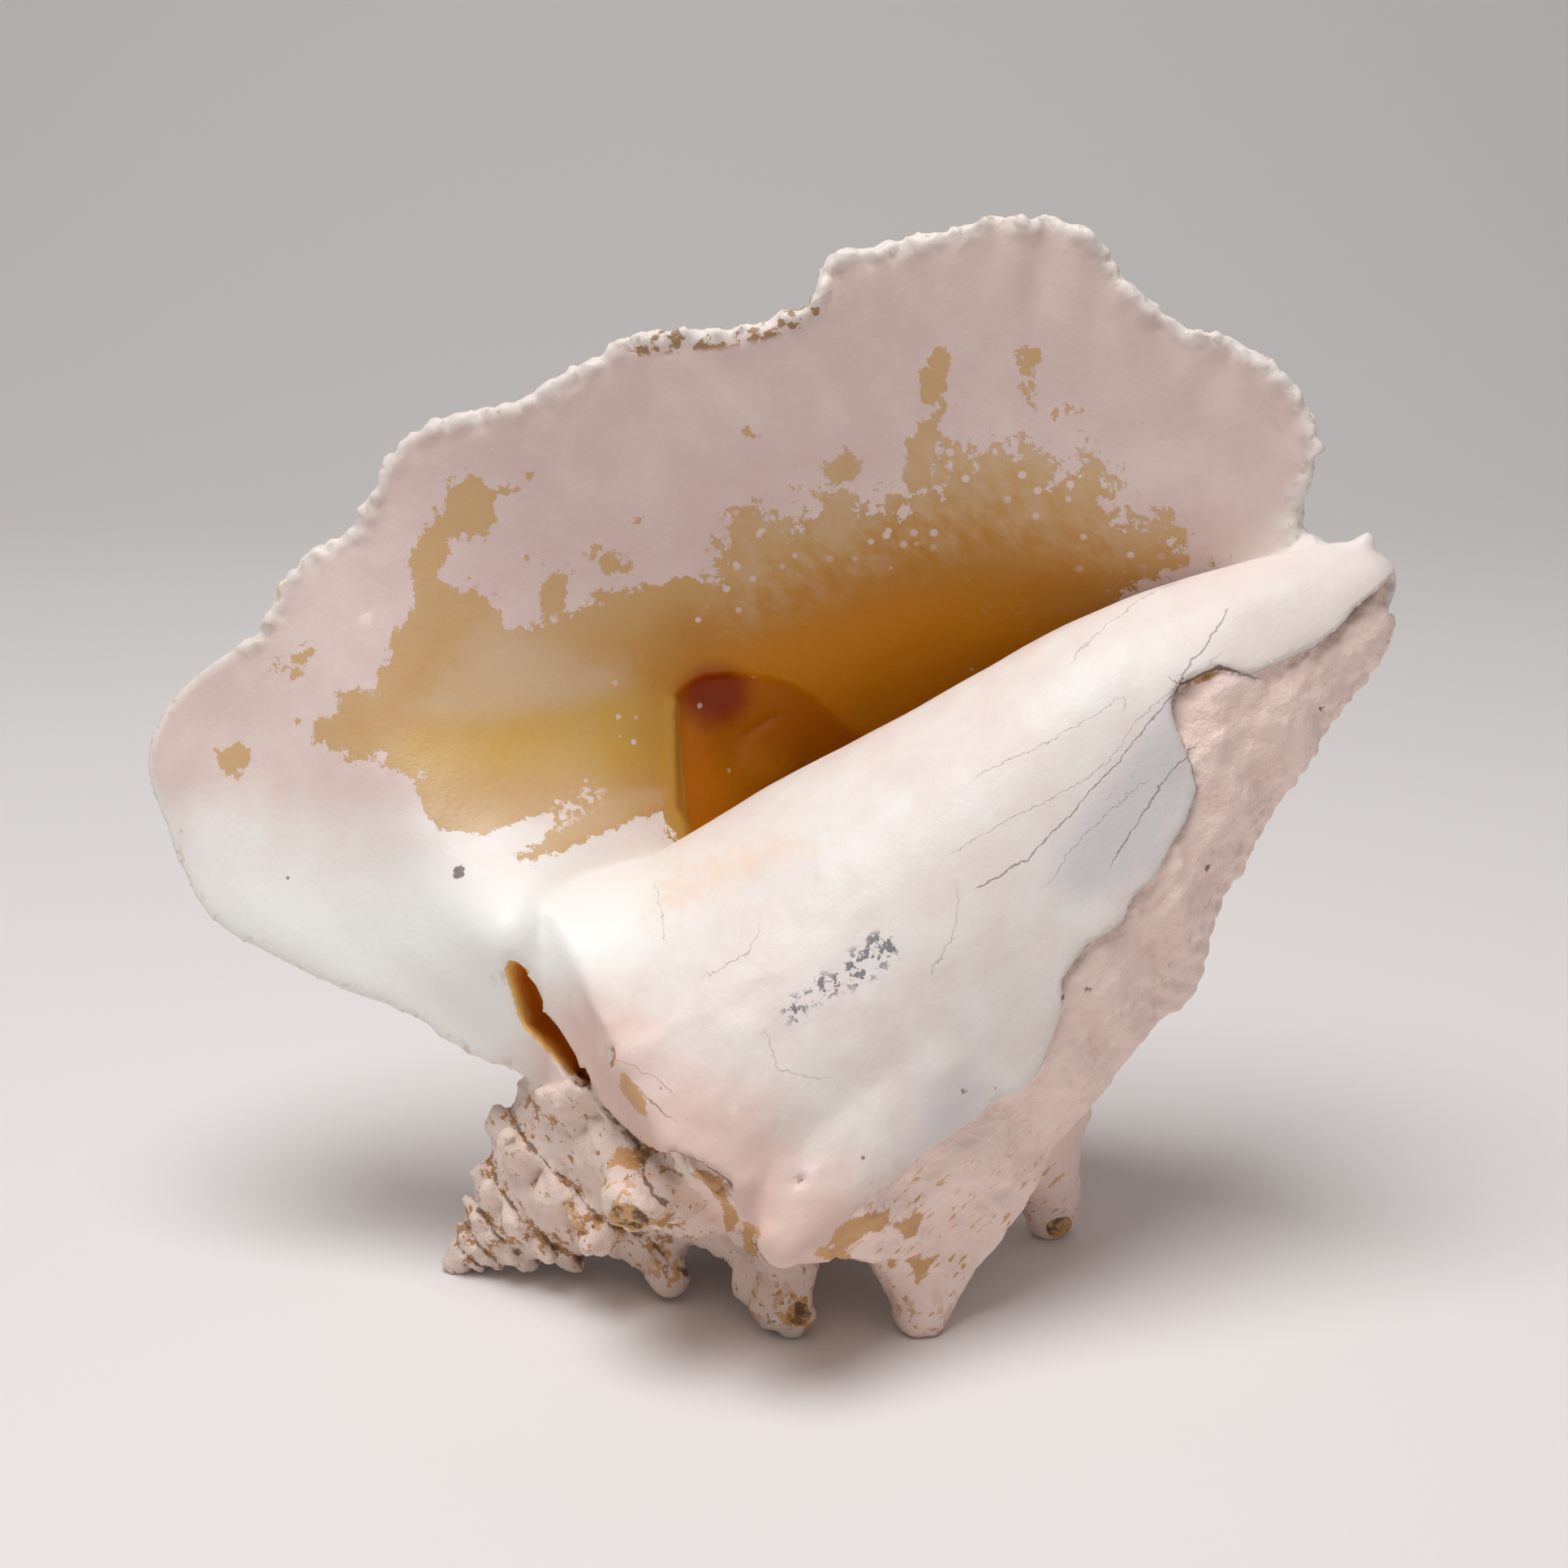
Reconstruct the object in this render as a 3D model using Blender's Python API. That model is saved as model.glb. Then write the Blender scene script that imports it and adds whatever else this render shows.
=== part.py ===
"""Queen conch shell, adult and weathered, lying on its shoulder spines with its mouth to the front.

The shell is grown the way the animal grows it: a shoulder line winds down a cone from the apex, each whorl
covers the last one up to its spines, the body whorl tapers to the siphonal canal, and the last half turn
leaves the coil and spreads into the flared lip. All of it is one piece of shell, so it is one solid.

Shell frame, in millimetres: x ventral (out of the mouth), y towards the lip, z along the coiling axis from
the siphonal tip (0) to the apex (AXIS_LENGTH). Growth angles are in degrees: 0 is the ventral line of the
last whorl, and earlier whorls have negative angles.
"""

import bpy
import numpy as np
from mathutils import Euler, Matrix

MM = 0.001

# Driving dimensions, mm and degrees
AXIS_LENGTH = 250.0
LIES = (128.64, -12.0, -95.24)
CUT_ABOVE_LOWEST = 1.15
WALL = 5.0
CAVITY_END = 15.0
CAVITY_FADE = 55.0
THROAT_ANGLE = 222.0
SUTURE_TUCK = 0.93

# The flared lip
LIP_THICK = 7.0
RIM_THICK = 3.6
LEAVE_PULL = 0.9
ARRIVE_PULL = 0.9
SHOULDER_SHARE = 0.3
GROOVE_DEPTH = 4.0
FLUTES = 30
FLUTE_HEIGHT = 1.6

# Surface forms
SPINE_ROOT = 2.5
SPIRE_KNOBS = 9
LAST_SMALL_KNOB = -760
CANAL_COAT = 7.5
LOBE_COAT = 15.0

# Mesh
VOXEL = 1.8
TRIANGLE_SHARE = 0.07

# The shoulder line: growth angle, distance from the apex, radius
SHOULDER = (
    (-2700, 2.0, 3.0), (-2250, 5.1, 4.4), (-1890, 8.7, 5.8), (-1530, 13.8, 8.8), (-1170, 21.6, 13.6),
    (-810, 32.0, 20.0), (-648, 43.0, 25.5), (-450, 51.0, 32.0), (-348, 59.0, 37.0), (-296, 64.0, 39.5),
    (-90, 72.0, 45.0), (-40, 72.0, 46.5), (10, 70.0, 50.5), (30, 73.0, 53.0), (50, 80.0, 56.0),
    (74, 90.0, 56.5), (110, 103.0, 58.5), (150, 111.0, 61.0), (235, 119.0, 65.0),
)
# The body whorl below its shoulder: share of the way up from the siphonal tip, share of the shoulder radius
TAPER = (
    (0.0, 0.15), (0.1, 0.29), (0.2, 0.38), (0.3, 0.47), (0.4, 0.58), (0.5, 0.70), (0.6, 0.81), (0.7, 0.89),
    (0.85, 0.96), (1.0, 1.0),
)
# The edge of the flared lip, from where it joins the spire round to the siphonal canal: z, y, x
LIP_EDGE = (
    (205, 20, 18), (214, 34, 16), (220, 48, 14), (232, 67, 12), (243, 93, 9), (240, 113, 5), (234, 129, 3),
    (222, 136, 2), (194, 137, 2), (185, 142, 2), (166, 141, 3), (150, 147, 5), (140, 147, 6), (121, 138, 8),
    (101, 135, 9), (90, 131, 9), (73, 121, 9), (60, 117, 9), (52, 121, 9), (38, 114, 9), (28, 110, 9),
    (14, 102, 8), (6, 92, 8), (5, 77, 6), (1, 63, 5), (-6, 54, 4), (-9, 44, 3), (-8, 30, 2), (2, 22, 1),
    (14, 9, -5),
)
# Spines: growth angle at the foot and at the tip, distance from the apex at both, tip radius from the axis,
# half width of the foot along the whorl, towards the apex and towards the canal, half width at the tip,
# sharpness of the flare
SPINES = (
    (-14, -18, 84, 67.5, 54, 22, 14, 34, 4.5, 1.0),
    (32, 27, 86, 72, 68, 30, 15, 56, 5.0, 1.0),
    (78, 74, 95, 77, 70.6, 28, 17, 52, 5.5, 1.0),
    (114, 111, 120, 107, 84.8, 18, 17, 26, 6.0, 1.4),
    (152, 152, 118, 104, 82, 16, 16, 16, 5.0, 1.4),
    (193, 194, 122, 108, 84, 16, 16, 16, 5.0, 1.4),
    (224, 236, 124, 112, 88, 15, 17, 17, 5.0, 1.3),
    (-346, -348, 62, 52, 52, 9, 9, 9, 5.0, 1.6),
    (-296, -296, 67, 61, 56.5, 11, 10, 10, 4.0, 1.6),
    (-226, -226, 68, 63, 56.8, 11, 10, 10, 4.5, 1.6),
    (-172, -172, 70, 65, 58, 11, 10, 10, 4.0, 1.6),
    (-697, -697, 40, 34, 28.5, 7, 7, 7, 2.2, 1.5),
    (-648, -648, 44, 41, 33, 7, 7, 7, 2.2, 1.5),
)
# The skirt of shell that joins the front spines: its height at growth angles, and how far it runs out
# towards the canal and towards the apex
SKIRT = ((-45, 0.0), (-14, 7.0), (8, 10.5), (27, 8.5), (50, 4.5), (76, 5.0), (112, 0.0))
SKIRT_RUNS = (68.0, 10.0)
# Low lumps on the body whorl: growth angle, distance from the apex, height
LUMPS = ((96, 166, 5.0), (80, 152, 3.0), (130, 168, 4.0), (172, 172, 4.0))
# The hollow of the last spine, seen inside the mouth: x, y, z, depth, width
SPINE_HOLLOW = (-40.0, 62.0, 132.0, 10.0, 9.0)
# The thick lobe where the columella runs out on to the lip: y, z and rise of each swelling,
# and how far it reaches towards the axis, the rim, the canal and the spire
LOBE = ((55, 187, 15, 38, 61, 34, 20), (46, 185, 11, 30, 16, 20, 13), (50, 178, 8, 14, 13, 9, 16))
# The narrow slit that is left between the lip and the whorl before it: x, y, z, half width, half depth
SLIT = (
    (18.0, 44.5, 189.6, 0.4, 9.0), (17.0, 38.5, 191.6, 1.6, 11.0), (17.0, 31.0, 193.8, 3.2, 14.0),
    (17.0, 24.0, 195.4, 3.9, 14.0), (19.0, 18.0, 196.6, 3.3, 13.0), (21.0, 12.5, 197.4, 0.8, 10.0),
)
SLIT_LEAN = (1.0, 0.3, 0.0)
# The small point at the end of the canal: root and tip, x, y, z
CANAL_CORNER = ((1.0, 3.5, 6.0), (3.0, 7.0, -2.5))
CORNER_RADII = (5.5, 1.2)


def through(points, x):
    """Smooth curve through the points (x, y...) read at x."""
    points = np.asarray(points, float)
    known, values = points[:, 0], points[:, 1:]
    steps = np.diff(known)
    slopes = np.diff(values, axis=0) / steps[:, None]
    tangents = np.vstack([slopes[:1], (slopes[1:] + slopes[:-1]) / 2, slopes[-1:]])
    x = np.clip(np.asarray(x, float), known[0], known[-1])
    i = np.clip(np.searchsorted(known, x, side="right") - 1, 0, len(known) - 2)
    u = ((x - known[i]) / steps[i])[..., None]
    step = steps[i][..., None]
    return (
        values[i] * (1 + 2 * u) * (1 - u) ** 2
        + tangents[i] * step * u * (1 - u) ** 2
        + values[i + 1] * u**2 * (3 - 2 * u)
        + tangents[i + 1] * step * u**2 * (u - 1)
    )


def ease(low, high, x):
    """0 below low, 1 above high and smooth between."""
    u = np.clip((x - low) / (high - low), 0, 1)
    return u * u * (3 - 2 * u)


def hill(x, width):
    """1 at zero, falling away over the width."""
    return np.exp(-((x / width) ** 2))


def unit(v):
    return v / np.linalg.norm(v, axis=-1, keepdims=True)


def polar(growth, radius, s):
    """Point at a growth angle, a radius and a distance from the apex."""
    angle = np.radians(growth)
    return np.stack([radius * np.cos(angle), -radius * np.sin(angle), AXIS_LENGTH - s + 0 * angle], -1)


def shoulder(growth):
    """Distance from the apex and radius of the shoulder at a growth angle."""
    found = through(SHOULDER, growth)
    return found[..., 0], found[..., 1]


def ramp_radius(growth, s):
    """Radius between the suture on the whorl before and the shoulder, with blunt knobs on early whorls."""
    s0, r0 = shoulder(growth)
    s1, r1 = shoulder(growth - 360)
    share = np.clip((s - s1) / (s0 - s1), 0, 1)
    tuck = r1 * SUTURE_TUCK
    row = np.cos(np.radians(growth) * SPIRE_KNOBS / 2) ** 4
    row = row * (1 - ease(LAST_SMALL_KNOB, LAST_SMALL_KNOB + 60, growth))
    return tuck + (r0 - tuck) * share**1.25 + 0.17 * r0 * row * hill(s - s0, 0.13 * s0)


def columella_coat(growth, s):
    """Extra shell that the animal laid over the inner side of the mouth."""
    a = AXIS_LENGTH - s
    inner = CANAL_COAT * hill(a - 52, 38) * ease(-150, -100, growth) * (1 - ease(-60, 30, growth))
    return inner + LOBE_COAT * hill(growth + 72, 28) * hill(a - 186, 16)


def skirt(growth, beyond):
    """Height of the shell that joins the front spines, at a distance beyond the shoulder."""
    share = np.where(beyond > 0, beyond / SKIRT_RUNS[0], -beyond / SKIRT_RUNS[1])
    return through(SKIRT, growth)[..., 0] * (1 - ease(0, 1, share))


def whorl_radius(growth, s):
    """Outside radius of one whorl at a growth angle, above and below its shoulder."""
    s0, r0 = shoulder(growth)
    body = r0 * through(TAPER, (AXIS_LENGTH - s) / (AXIS_LENGTH - s0))[..., 0]
    lumps = sum(high * hill(growth - at, 11) * hill(s - down, 11) for at, down, high in LUMPS)
    radius = np.where(s < s0, ramp_radius(growth, s), body)
    return radius + columella_coat(growth, s) + lumps + skirt(growth, s - s0)


def coil_radius(growth, s):
    """Outside radius of the coil whose last whorl passes at this growth angle."""
    radius = whorl_radius(growth, s)
    turn = growth
    for _ in range(7):
        turn = np.maximum(turn - 360, SHOULDER[0][0] + 360)
        radius = np.where(s < shoulder(turn)[0], ramp_radius(turn, s), radius)
    return radius


def core():
    """What lies inside the open whorl: the spire, the columella and the earlier whorls."""
    around = CAVITY_END + np.linspace(0, 360, 160, endpoint=False)
    s = np.concatenate([np.linspace(0, 90, 110), np.linspace(91.5, AXIS_LENGTH + 1.8, 90)])
    growth, s = np.meshgrid(around, s)
    opened = ease(CAVITY_END, CAVITY_END + CAVITY_FADE, growth)
    radius = coil_radius(growth - 360, s) * opened + coil_radius(growth, s) * (1 - opened)
    canal_end = np.sqrt(np.clip(1 - (np.clip(s - AXIS_LENGTH + 5, 0, None) / 7) ** 2, 0, 1))
    return polar(growth, np.maximum(radius * canal_end, 0.3), s)


def growth_line(growth, count):
    """The wall's outside along one growth line, from the suture over the shoulder to the canal."""
    s0, _ = shoulder(growth)
    s1, _ = shoulder(growth - 360)
    along = np.linspace(0, 1, count)
    ramp = s1 + 1 + (s0 - s1 - 1) * along / SHOULDER_SHARE
    body = s0 + (AXIS_LENGTH - 4 - s0) * (along - SHOULDER_SHARE) / (1 - SHOULDER_SHARE)
    s = np.where(along < SHOULDER_SHARE, ramp, body)
    return polar(growth, whorl_radius(growth, s), s)


def normals(grid):
    """Surface normals of a grid of points, away from the mouth."""
    return unit(np.cross(np.gradient(grid, axis=0), np.gradient(grid, axis=1)))


def lip_edge(count):
    """Points along the lip's edge and the direction in which the lip reaches each of them."""
    points = np.array([(x, y, z) for z, y, x in LIP_EDGE], float)
    length = np.concatenate([[0], np.cumsum(np.linalg.norm(np.diff(points, axis=0), axis=1))])
    edge = through(np.c_[length / length[-1], points], np.linspace(0, 1, count))
    return edge, unit(np.cross((1.0, 0.0, 0.0), np.gradient(edge, axis=0)))


def outer_wall(turns=50, steps=36, count=80):
    """The last whorl and the flared lip, as one sheet with thickness: its inside and outside points."""
    along = np.linspace(0, 1, count)
    body = np.array([growth_line(g, count) for g in np.linspace(CAVITY_END - 20, THROAT_ANGLE, turns)])
    body = body - normals(body) * WALL
    throat = body[-1]
    leave = unit(body[-1] - body[-2])
    edge, out = lip_edge(count)
    reach = np.linalg.norm(edge - throat, axis=1, keepdims=True)
    lean = 0.30 * ease(0.35, 0.6, along) - 0.35 * (1 - ease(0.2, 0.4, along))
    arrive = unit(out + lean[:, None] * np.array((1.0, 0.0, 0.0)))
    u = np.linspace(0, 1, steps)[1:, None, None]
    lip = (
        throat * (1 + 2 * u) * (1 - u) ** 2
        + leave * reach * LEAVE_PULL * u * (1 - u) ** 2
        + edge * u**2 * (3 - 2 * u)
        + arrive * reach * ARRIVE_PULL * u**2 * (u - 1)
    )
    inside = np.concatenate([body, lip])
    spread = np.concatenate([np.zeros(turns), u.ravel()])[:, None]

    # The fold of the shoulder fades out towards the lip
    age = np.arange(turns + steps - 1)[:, None]
    calm = ease(turns - 14, turns, age) * (1 - ease(0.5, 1.0, spread))
    for _ in range(60):
        inside[:, 1:-1] += calm[..., None] * (inside[:, 2:] + inside[:, :-2] - 2 * inside[:, 1:-1]) / 4

    fluted = ease(0.55, 0.62, along) * (1 - ease(0.86, 0.92, along)) * ease(0.6, 1.0, spread)
    flutes = FLUTE_HEIGHT * np.sin(2 * np.pi * FLUTES * along) * fluted
    mouth = ease(turns - 20, turns, age)
    groove = GROOVE_DEPTH * hill(along - SHOULDER_SHARE, 0.05) * (1 - ease(0.0, 0.25, spread)) * mouth
    inside = inside + normals(inside) * (flutes + groove)[..., None]
    thick = WALL + (LIP_THICK - WALL) * ease(0.1, 0.5, spread)
    thick = thick - (LIP_THICK - RIM_THICK) * ease(0.75, 1.0, spread)
    outside = inside + normals(inside) * thick[..., None]

    lobe = 0
    for y, z, rise, inward, outward, down, up in LOBE:
        aside, above = inside[..., 1] - y, inside[..., 2] - z
        across = hill(aside, np.where(aside < 0, inward, outward))
        lobe = lobe + rise * across * hill(above, np.where(above < 0, down, up))
    lobe = lobe * mouth * (1 - ease(0.75, 1.0, spread))
    inside = inside + lobe[..., None] * np.array((1.0, 0.0, 0.0))
    hollow = SPINE_HOLLOW[3] * hill(np.linalg.norm(inside - SPINE_HOLLOW[:3], axis=-1), SPINE_HOLLOW[4])
    return inside + normals(inside) * hollow[..., None], outside


def spine(growth, tip_growth, s, tip_s, tip_radius, along, up, down, tip_width, sharpness):
    """A blunt horn whose foot follows the whorl that it grows from."""
    turn = np.linspace(0, 2 * np.pi, 24, endpoint=False)
    foot_s = s + np.where(np.sin(turn) > 0, down, up) * np.sin(turn)
    foot_growth = growth + np.degrees(along * np.cos(turn) / whorl_radius(growth, s))
    foot = polar(foot_growth, whorl_radius(foot_growth, foot_s) - SPINE_ROOT, foot_s)
    centre = polar(growth, whorl_radius(growth, s) - SPINE_ROOT, s)
    tip = polar(tip_growth, tip_radius, tip_s)
    way = unit(tip - centre)
    side = unit(np.cross(way, (0.0, 0.0, 1.0)))
    rise = np.cross(way, side)
    round_end = side * np.cos(turn)[:, None] + rise * np.sin(turn)[:, None]
    dome = tip_width * 0.8
    length = np.linalg.norm(tip - centre) - dome
    rings = []
    for share in np.linspace(0, 1, 14):
        flare = (1 - share) ** sharpness
        shaft = (foot - centre) * flare + round_end * tip_width * (1 - flare)
        rings.append(centre + way * length * share + shaft)
    for bend in np.radians((25, 50, 72)):
        rings.append(centre + way * (length + dome * np.sin(bend)) + round_end * tip_width * np.cos(bend))
    return np.array(rings)


def canal_corner():
    """The callus draws out to a small point at the end of the canal."""
    root, tip = np.array(CANAL_CORNER)
    turn = np.linspace(0, 2 * np.pi, 16, endpoint=False)[:, None]
    across = unit(np.cross(tip - root, (1.0, 0.0, 0.0)))
    ring = np.cos(turn) * np.array((1.0, 0.0, 0.0)) + np.sin(turn) * across
    root_radius, tip_radius = CORNER_RADII
    shares = np.linspace(0, 1, 5)
    radii = root_radius + (tip_radius - root_radius) * shares
    return np.array([root + (tip - root) * share + ring * radius for share, radius in zip(shares, radii)])


def slit():
    """The blade-shaped hollow of the slit, deeper than it is wide."""
    path = np.array(SLIT)
    middle = path[:, None, :3]
    along = unit(np.gradient(middle, axis=0))
    deep = unit(np.array(SLIT_LEAN))
    across = unit(np.cross(deep, along))
    turn = np.linspace(0, 2 * np.pi, 20, endpoint=False)[:, None]
    return middle + across * np.cos(turn) * path[:, None, 3:4] + deep * np.sin(turn) * path[:, None, 4:5]


def tube_mesh(rows):
    """Closed surface over rings of points, capped with a fan at both ends."""
    count, ring = rows.shape[:2]
    points = list(rows.reshape(-1, 3)) + [rows[0].mean(0), rows[-1].mean(0)]
    faces = []
    for i in range(count - 1):
        for j in range(ring):
            k = (j + 1) % ring
            faces.append((i * ring + j, i * ring + k, (i + 1) * ring + k, (i + 1) * ring + j))
    last = (count - 1) * ring
    for j in range(ring):
        k = (j + 1) % ring
        faces.append((count * ring, k, j))
        faces.append((count * ring + 1, last + j, last + k))
    return points, faces


def sheet_mesh(inside, outside):
    """Closed surface round two grids of points."""
    rows, columns = inside.shape[:2]
    size = rows * columns
    points = list(inside.reshape(-1, 3)) + list(outside.reshape(-1, 3))
    faces = []
    for i in range(rows - 1):
        for j in range(columns - 1):
            a = i * columns + j
            faces.append((a, a + 1, a + columns + 1, a + columns))
            faces.append((size + a, size + a + columns, size + a + columns + 1, size + a + 1))
    border = list(range(columns))
    border += [i * columns + columns - 1 for i in range(1, rows)]
    border += [(rows - 1) * columns + j for j in range(columns - 2, -1, -1)]
    border += [i * columns for i in range(rows - 2, 0, -1)]
    for a, b in zip(border, border[1:] + border[:1]):
        faces.append((b, a, size + a, size + b))
    return points, faces


def joined(name, parts):
    """One mesh, in metres, from several closed surfaces."""
    points, faces = [], []
    for some_points, some_faces in parts:
        start = len(points)
        points += [tuple(p * MM) for p in some_points]
        faces += [tuple(start + i for i in face) for face in some_faces]
    mesh = bpy.data.meshes.new(name)
    mesh.from_pydata(points, [], faces)
    return mesh


def linked(name, mesh):
    thing = bpy.data.objects.new(name, mesh)
    bpy.context.scene.collection.objects.link(thing)
    return thing


def evaluated_points(thing):
    """World positions of the finished mesh, in metres."""
    bpy.context.view_layer.update()
    finished = thing.evaluated_get(bpy.context.evaluated_depsgraph_get())
    mesh = finished.to_mesh()
    points = np.array([finished.matrix_world @ v.co for v in mesh.vertices])
    finished.to_mesh_clear()
    return points


def shell_material():
    material = bpy.data.materials.new("bleached_shell")
    material.use_nodes = True
    surface = material.node_tree.nodes["Principled BSDF"]
    surface.inputs["Base Color"].default_value = (0.78, 0.70, 0.65, 1)
    surface.inputs["Roughness"].default_value = 0.45
    surface.inputs["Metallic"].default_value = 0.0
    return material


def ground_block():
    """The ground, which flattens the tips that the shell stands on."""
    half, deep = 400.0, 50.0
    corners = [(x, y, z) for z in (-deep, 0) for y in (-half, half) for x in (-half, half)]
    faces = [(0, 2, 3, 1), (4, 5, 7, 6), (0, 1, 5, 4), (1, 3, 7, 5), (3, 2, 6, 7), (2, 0, 4, 6)]
    return np.array(corners), faces


def fuse(shell, name):
    """Make one even skin round everything."""
    skin = shell.modifiers.new(name, "REMESH")
    skin.mode = "VOXEL"
    skin.voxel_size = VOXEL * MM


def cut_away(shell, name, form):
    """Take a closed form out of the shell."""
    cutter = linked(name, joined(name, [form]))
    cutter.hide_render = True
    cutter.display_type = "WIRE"
    cut = shell.modifiers.new(name, "BOOLEAN")
    cut.object = cutter
    cut.operation = "DIFFERENCE"
    cut.solver = "EXACT"
    return cutter


def build():
    for old in list(bpy.data.objects):
        bpy.data.objects.remove(old)
    parts = [tube_mesh(core()), sheet_mesh(*outer_wall()), tube_mesh(canal_corner())]
    parts += [tube_mesh(spine(*row)) for row in SPINES]
    shell = linked("conch_shell", joined("conch_shell", parts))
    shell.data.materials.append(shell_material())
    shell.matrix_world = Euler([np.radians(turn) for turn in LIES]).to_matrix().to_4x4()

    fuse(shell, "grow")
    slit_form = cut_away(shell, "slit", tube_mesh(slit()))
    slit_form.parent = shell
    fuse(shell, "heal")
    soften = shell.modifiers.new("soften", "SMOOTH")
    soften.factor = 0.5
    soften.iterations = 2
    facet = shell.modifiers.new("facet", "DECIMATE")
    facet.ratio = TRIANGLE_SHARE

    # Stand it on the ground, cut its standing tips flat, and centre it on the origin
    low = evaluated_points(shell).min(0)[2] + CUT_ABOVE_LOWEST * MM
    shell.matrix_world = Matrix.Translation((0, 0, -low)) @ shell.matrix_world
    cut_away(shell, "ground", ground_block())
    points = evaluated_points(shell)
    middle = (points.min(0) + points.max(0)) / 2
    shell.matrix_world = Matrix.Translation((-middle[0], -middle[1], 0)) @ shell.matrix_world


build()
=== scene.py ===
import bpy
import numpy as np
from mathutils import Euler, Matrix, Vector, kdtree, noise


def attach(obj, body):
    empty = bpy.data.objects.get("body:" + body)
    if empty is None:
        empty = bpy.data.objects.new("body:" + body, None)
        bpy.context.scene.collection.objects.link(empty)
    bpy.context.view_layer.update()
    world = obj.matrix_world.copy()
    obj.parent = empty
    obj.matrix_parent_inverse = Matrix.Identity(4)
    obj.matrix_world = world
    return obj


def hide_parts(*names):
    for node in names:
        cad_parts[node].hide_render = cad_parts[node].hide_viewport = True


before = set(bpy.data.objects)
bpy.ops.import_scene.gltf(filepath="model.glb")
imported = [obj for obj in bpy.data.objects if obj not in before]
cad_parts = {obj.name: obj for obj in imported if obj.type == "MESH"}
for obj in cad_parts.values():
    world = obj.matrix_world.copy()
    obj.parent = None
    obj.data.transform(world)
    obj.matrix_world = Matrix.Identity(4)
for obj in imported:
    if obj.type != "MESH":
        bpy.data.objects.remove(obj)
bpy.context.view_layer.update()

# ---------------------------------------------------------------------------
# The coil
# The spire, the body whorl and the columella are one spiral of chalky shell that the animal laid down as it
# turned about its axis. Each whorl overlaps the one before it, and the last tapers to the siphonal canal.
# ---------------------------------------------------------------------------
# Lengths are in mm in the shell's own frame: x ventral, y towards the lip, z from the siphonal tip to the
# apex. Growth angles are in degrees, with 0 at the ventral line of the last whorl.
MM = 0.001
AXIS_LENGTH = 250.0
# The shoulder line: growth angle, distance from the apex, radius
SHOULDER = (
    (-2700, 2.0, 3.0), (-2250, 5.1, 4.4), (-1890, 8.7, 5.8), (-1530, 13.8, 8.8), (-1170, 21.6, 13.6),
    (-810, 32.0, 20.0), (-648, 43.0, 25.5), (-450, 51.0, 32.0), (-348, 59.0, 37.0), (-296, 64.0, 39.5),
    (-90, 72.0, 45.0), (-40, 72.0, 46.5), (10, 70.0, 50.5), (30, 73.0, 53.0), (50, 80.0, 56.0),
    (74, 90.0, 56.5), (110, 103.0, 58.5), (150, 111.0, 61.0), (235, 119.0, 65.0),
)
# The body whorl below its shoulder: share of the way up from the siphonal tip, share of the shoulder radius
TAPER = (
    (0.0, 0.15), (0.1, 0.29), (0.2, 0.38), (0.3, 0.47), (0.4, 0.58), (0.5, 0.70), (0.6, 0.81), (0.7, 0.89),
    (0.85, 0.96), (1.0, 1.0),
)
SUTURE_TUCK = 0.93
SPIRE_KNOBS = 9
LAST_SMALL_KNOB = -760
CANAL_COAT = 7.5
LOBE_COAT = 15.0
# The skirt of shell that joins the front spines: its height at growth angles, and how far it runs out
# towards the canal and towards the apex
SKIRT = ((-45, 0.0), (-14, 7.0), (8, 10.5), (27, 8.5), (50, 4.5), (76, 5.0), (112, 0.0))
SKIRT_RUNS = (68.0, 10.0)
# Low lumps on the body whorl: growth angle, distance from the apex, height
LUMPS = ((96, 166, 5.0), (80, 152, 3.0), (130, 168, 4.0), (172, 172, 4.0))
# The last whorl is open from this growth angle on, and the coil gives way to it over so many degrees
CAVITY_END = 15.0
CAVITY_FADE = 55.0


def through(points, x):
    """Smooth curve through the points (x, y...) read at x."""
    points = np.asarray(points, float)
    known, values = points[:, 0], points[:, 1:]
    steps = np.diff(known)
    slopes = np.diff(values, axis=0) / steps[:, None]
    tangents = np.vstack([slopes[:1], (slopes[1:] + slopes[:-1]) / 2, slopes[-1:]])
    x = np.clip(np.asarray(x, float), known[0], known[-1])
    i = np.clip(np.searchsorted(known, x, side="right") - 1, 0, len(known) - 2)
    u = ((x - known[i]) / steps[i])[..., None]
    step = steps[i][..., None]
    return (
        values[i] * (1 + 2 * u) * (1 - u) ** 2
        + tangents[i] * step * u * (1 - u) ** 2
        + values[i + 1] * u**2 * (3 - 2 * u)
        + tangents[i + 1] * step * u**2 * (u - 1)
    )


def ease(low, high, x):
    """0 below low, 1 above high and smooth between."""
    u = np.clip((x - low) / (high - low), 0, 1)
    return u * u * (3 - 2 * u)


def hill(x, width):
    """1 at zero, falling away over the width."""
    return np.exp(-((x / width) ** 2))


def unit(v):
    return v / np.linalg.norm(v, axis=-1, keepdims=True)


def polar(growth, radius, s):
    """Point at a growth angle, a radius and a distance from the apex."""
    angle = np.radians(growth)
    return np.stack([radius * np.cos(angle), -radius * np.sin(angle), AXIS_LENGTH - s + 0 * angle], -1)


def shoulder(growth):
    """Distance from the apex and radius of the shoulder at a growth angle."""
    found = through(SHOULDER, growth)
    return found[..., 0], found[..., 1]


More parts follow.
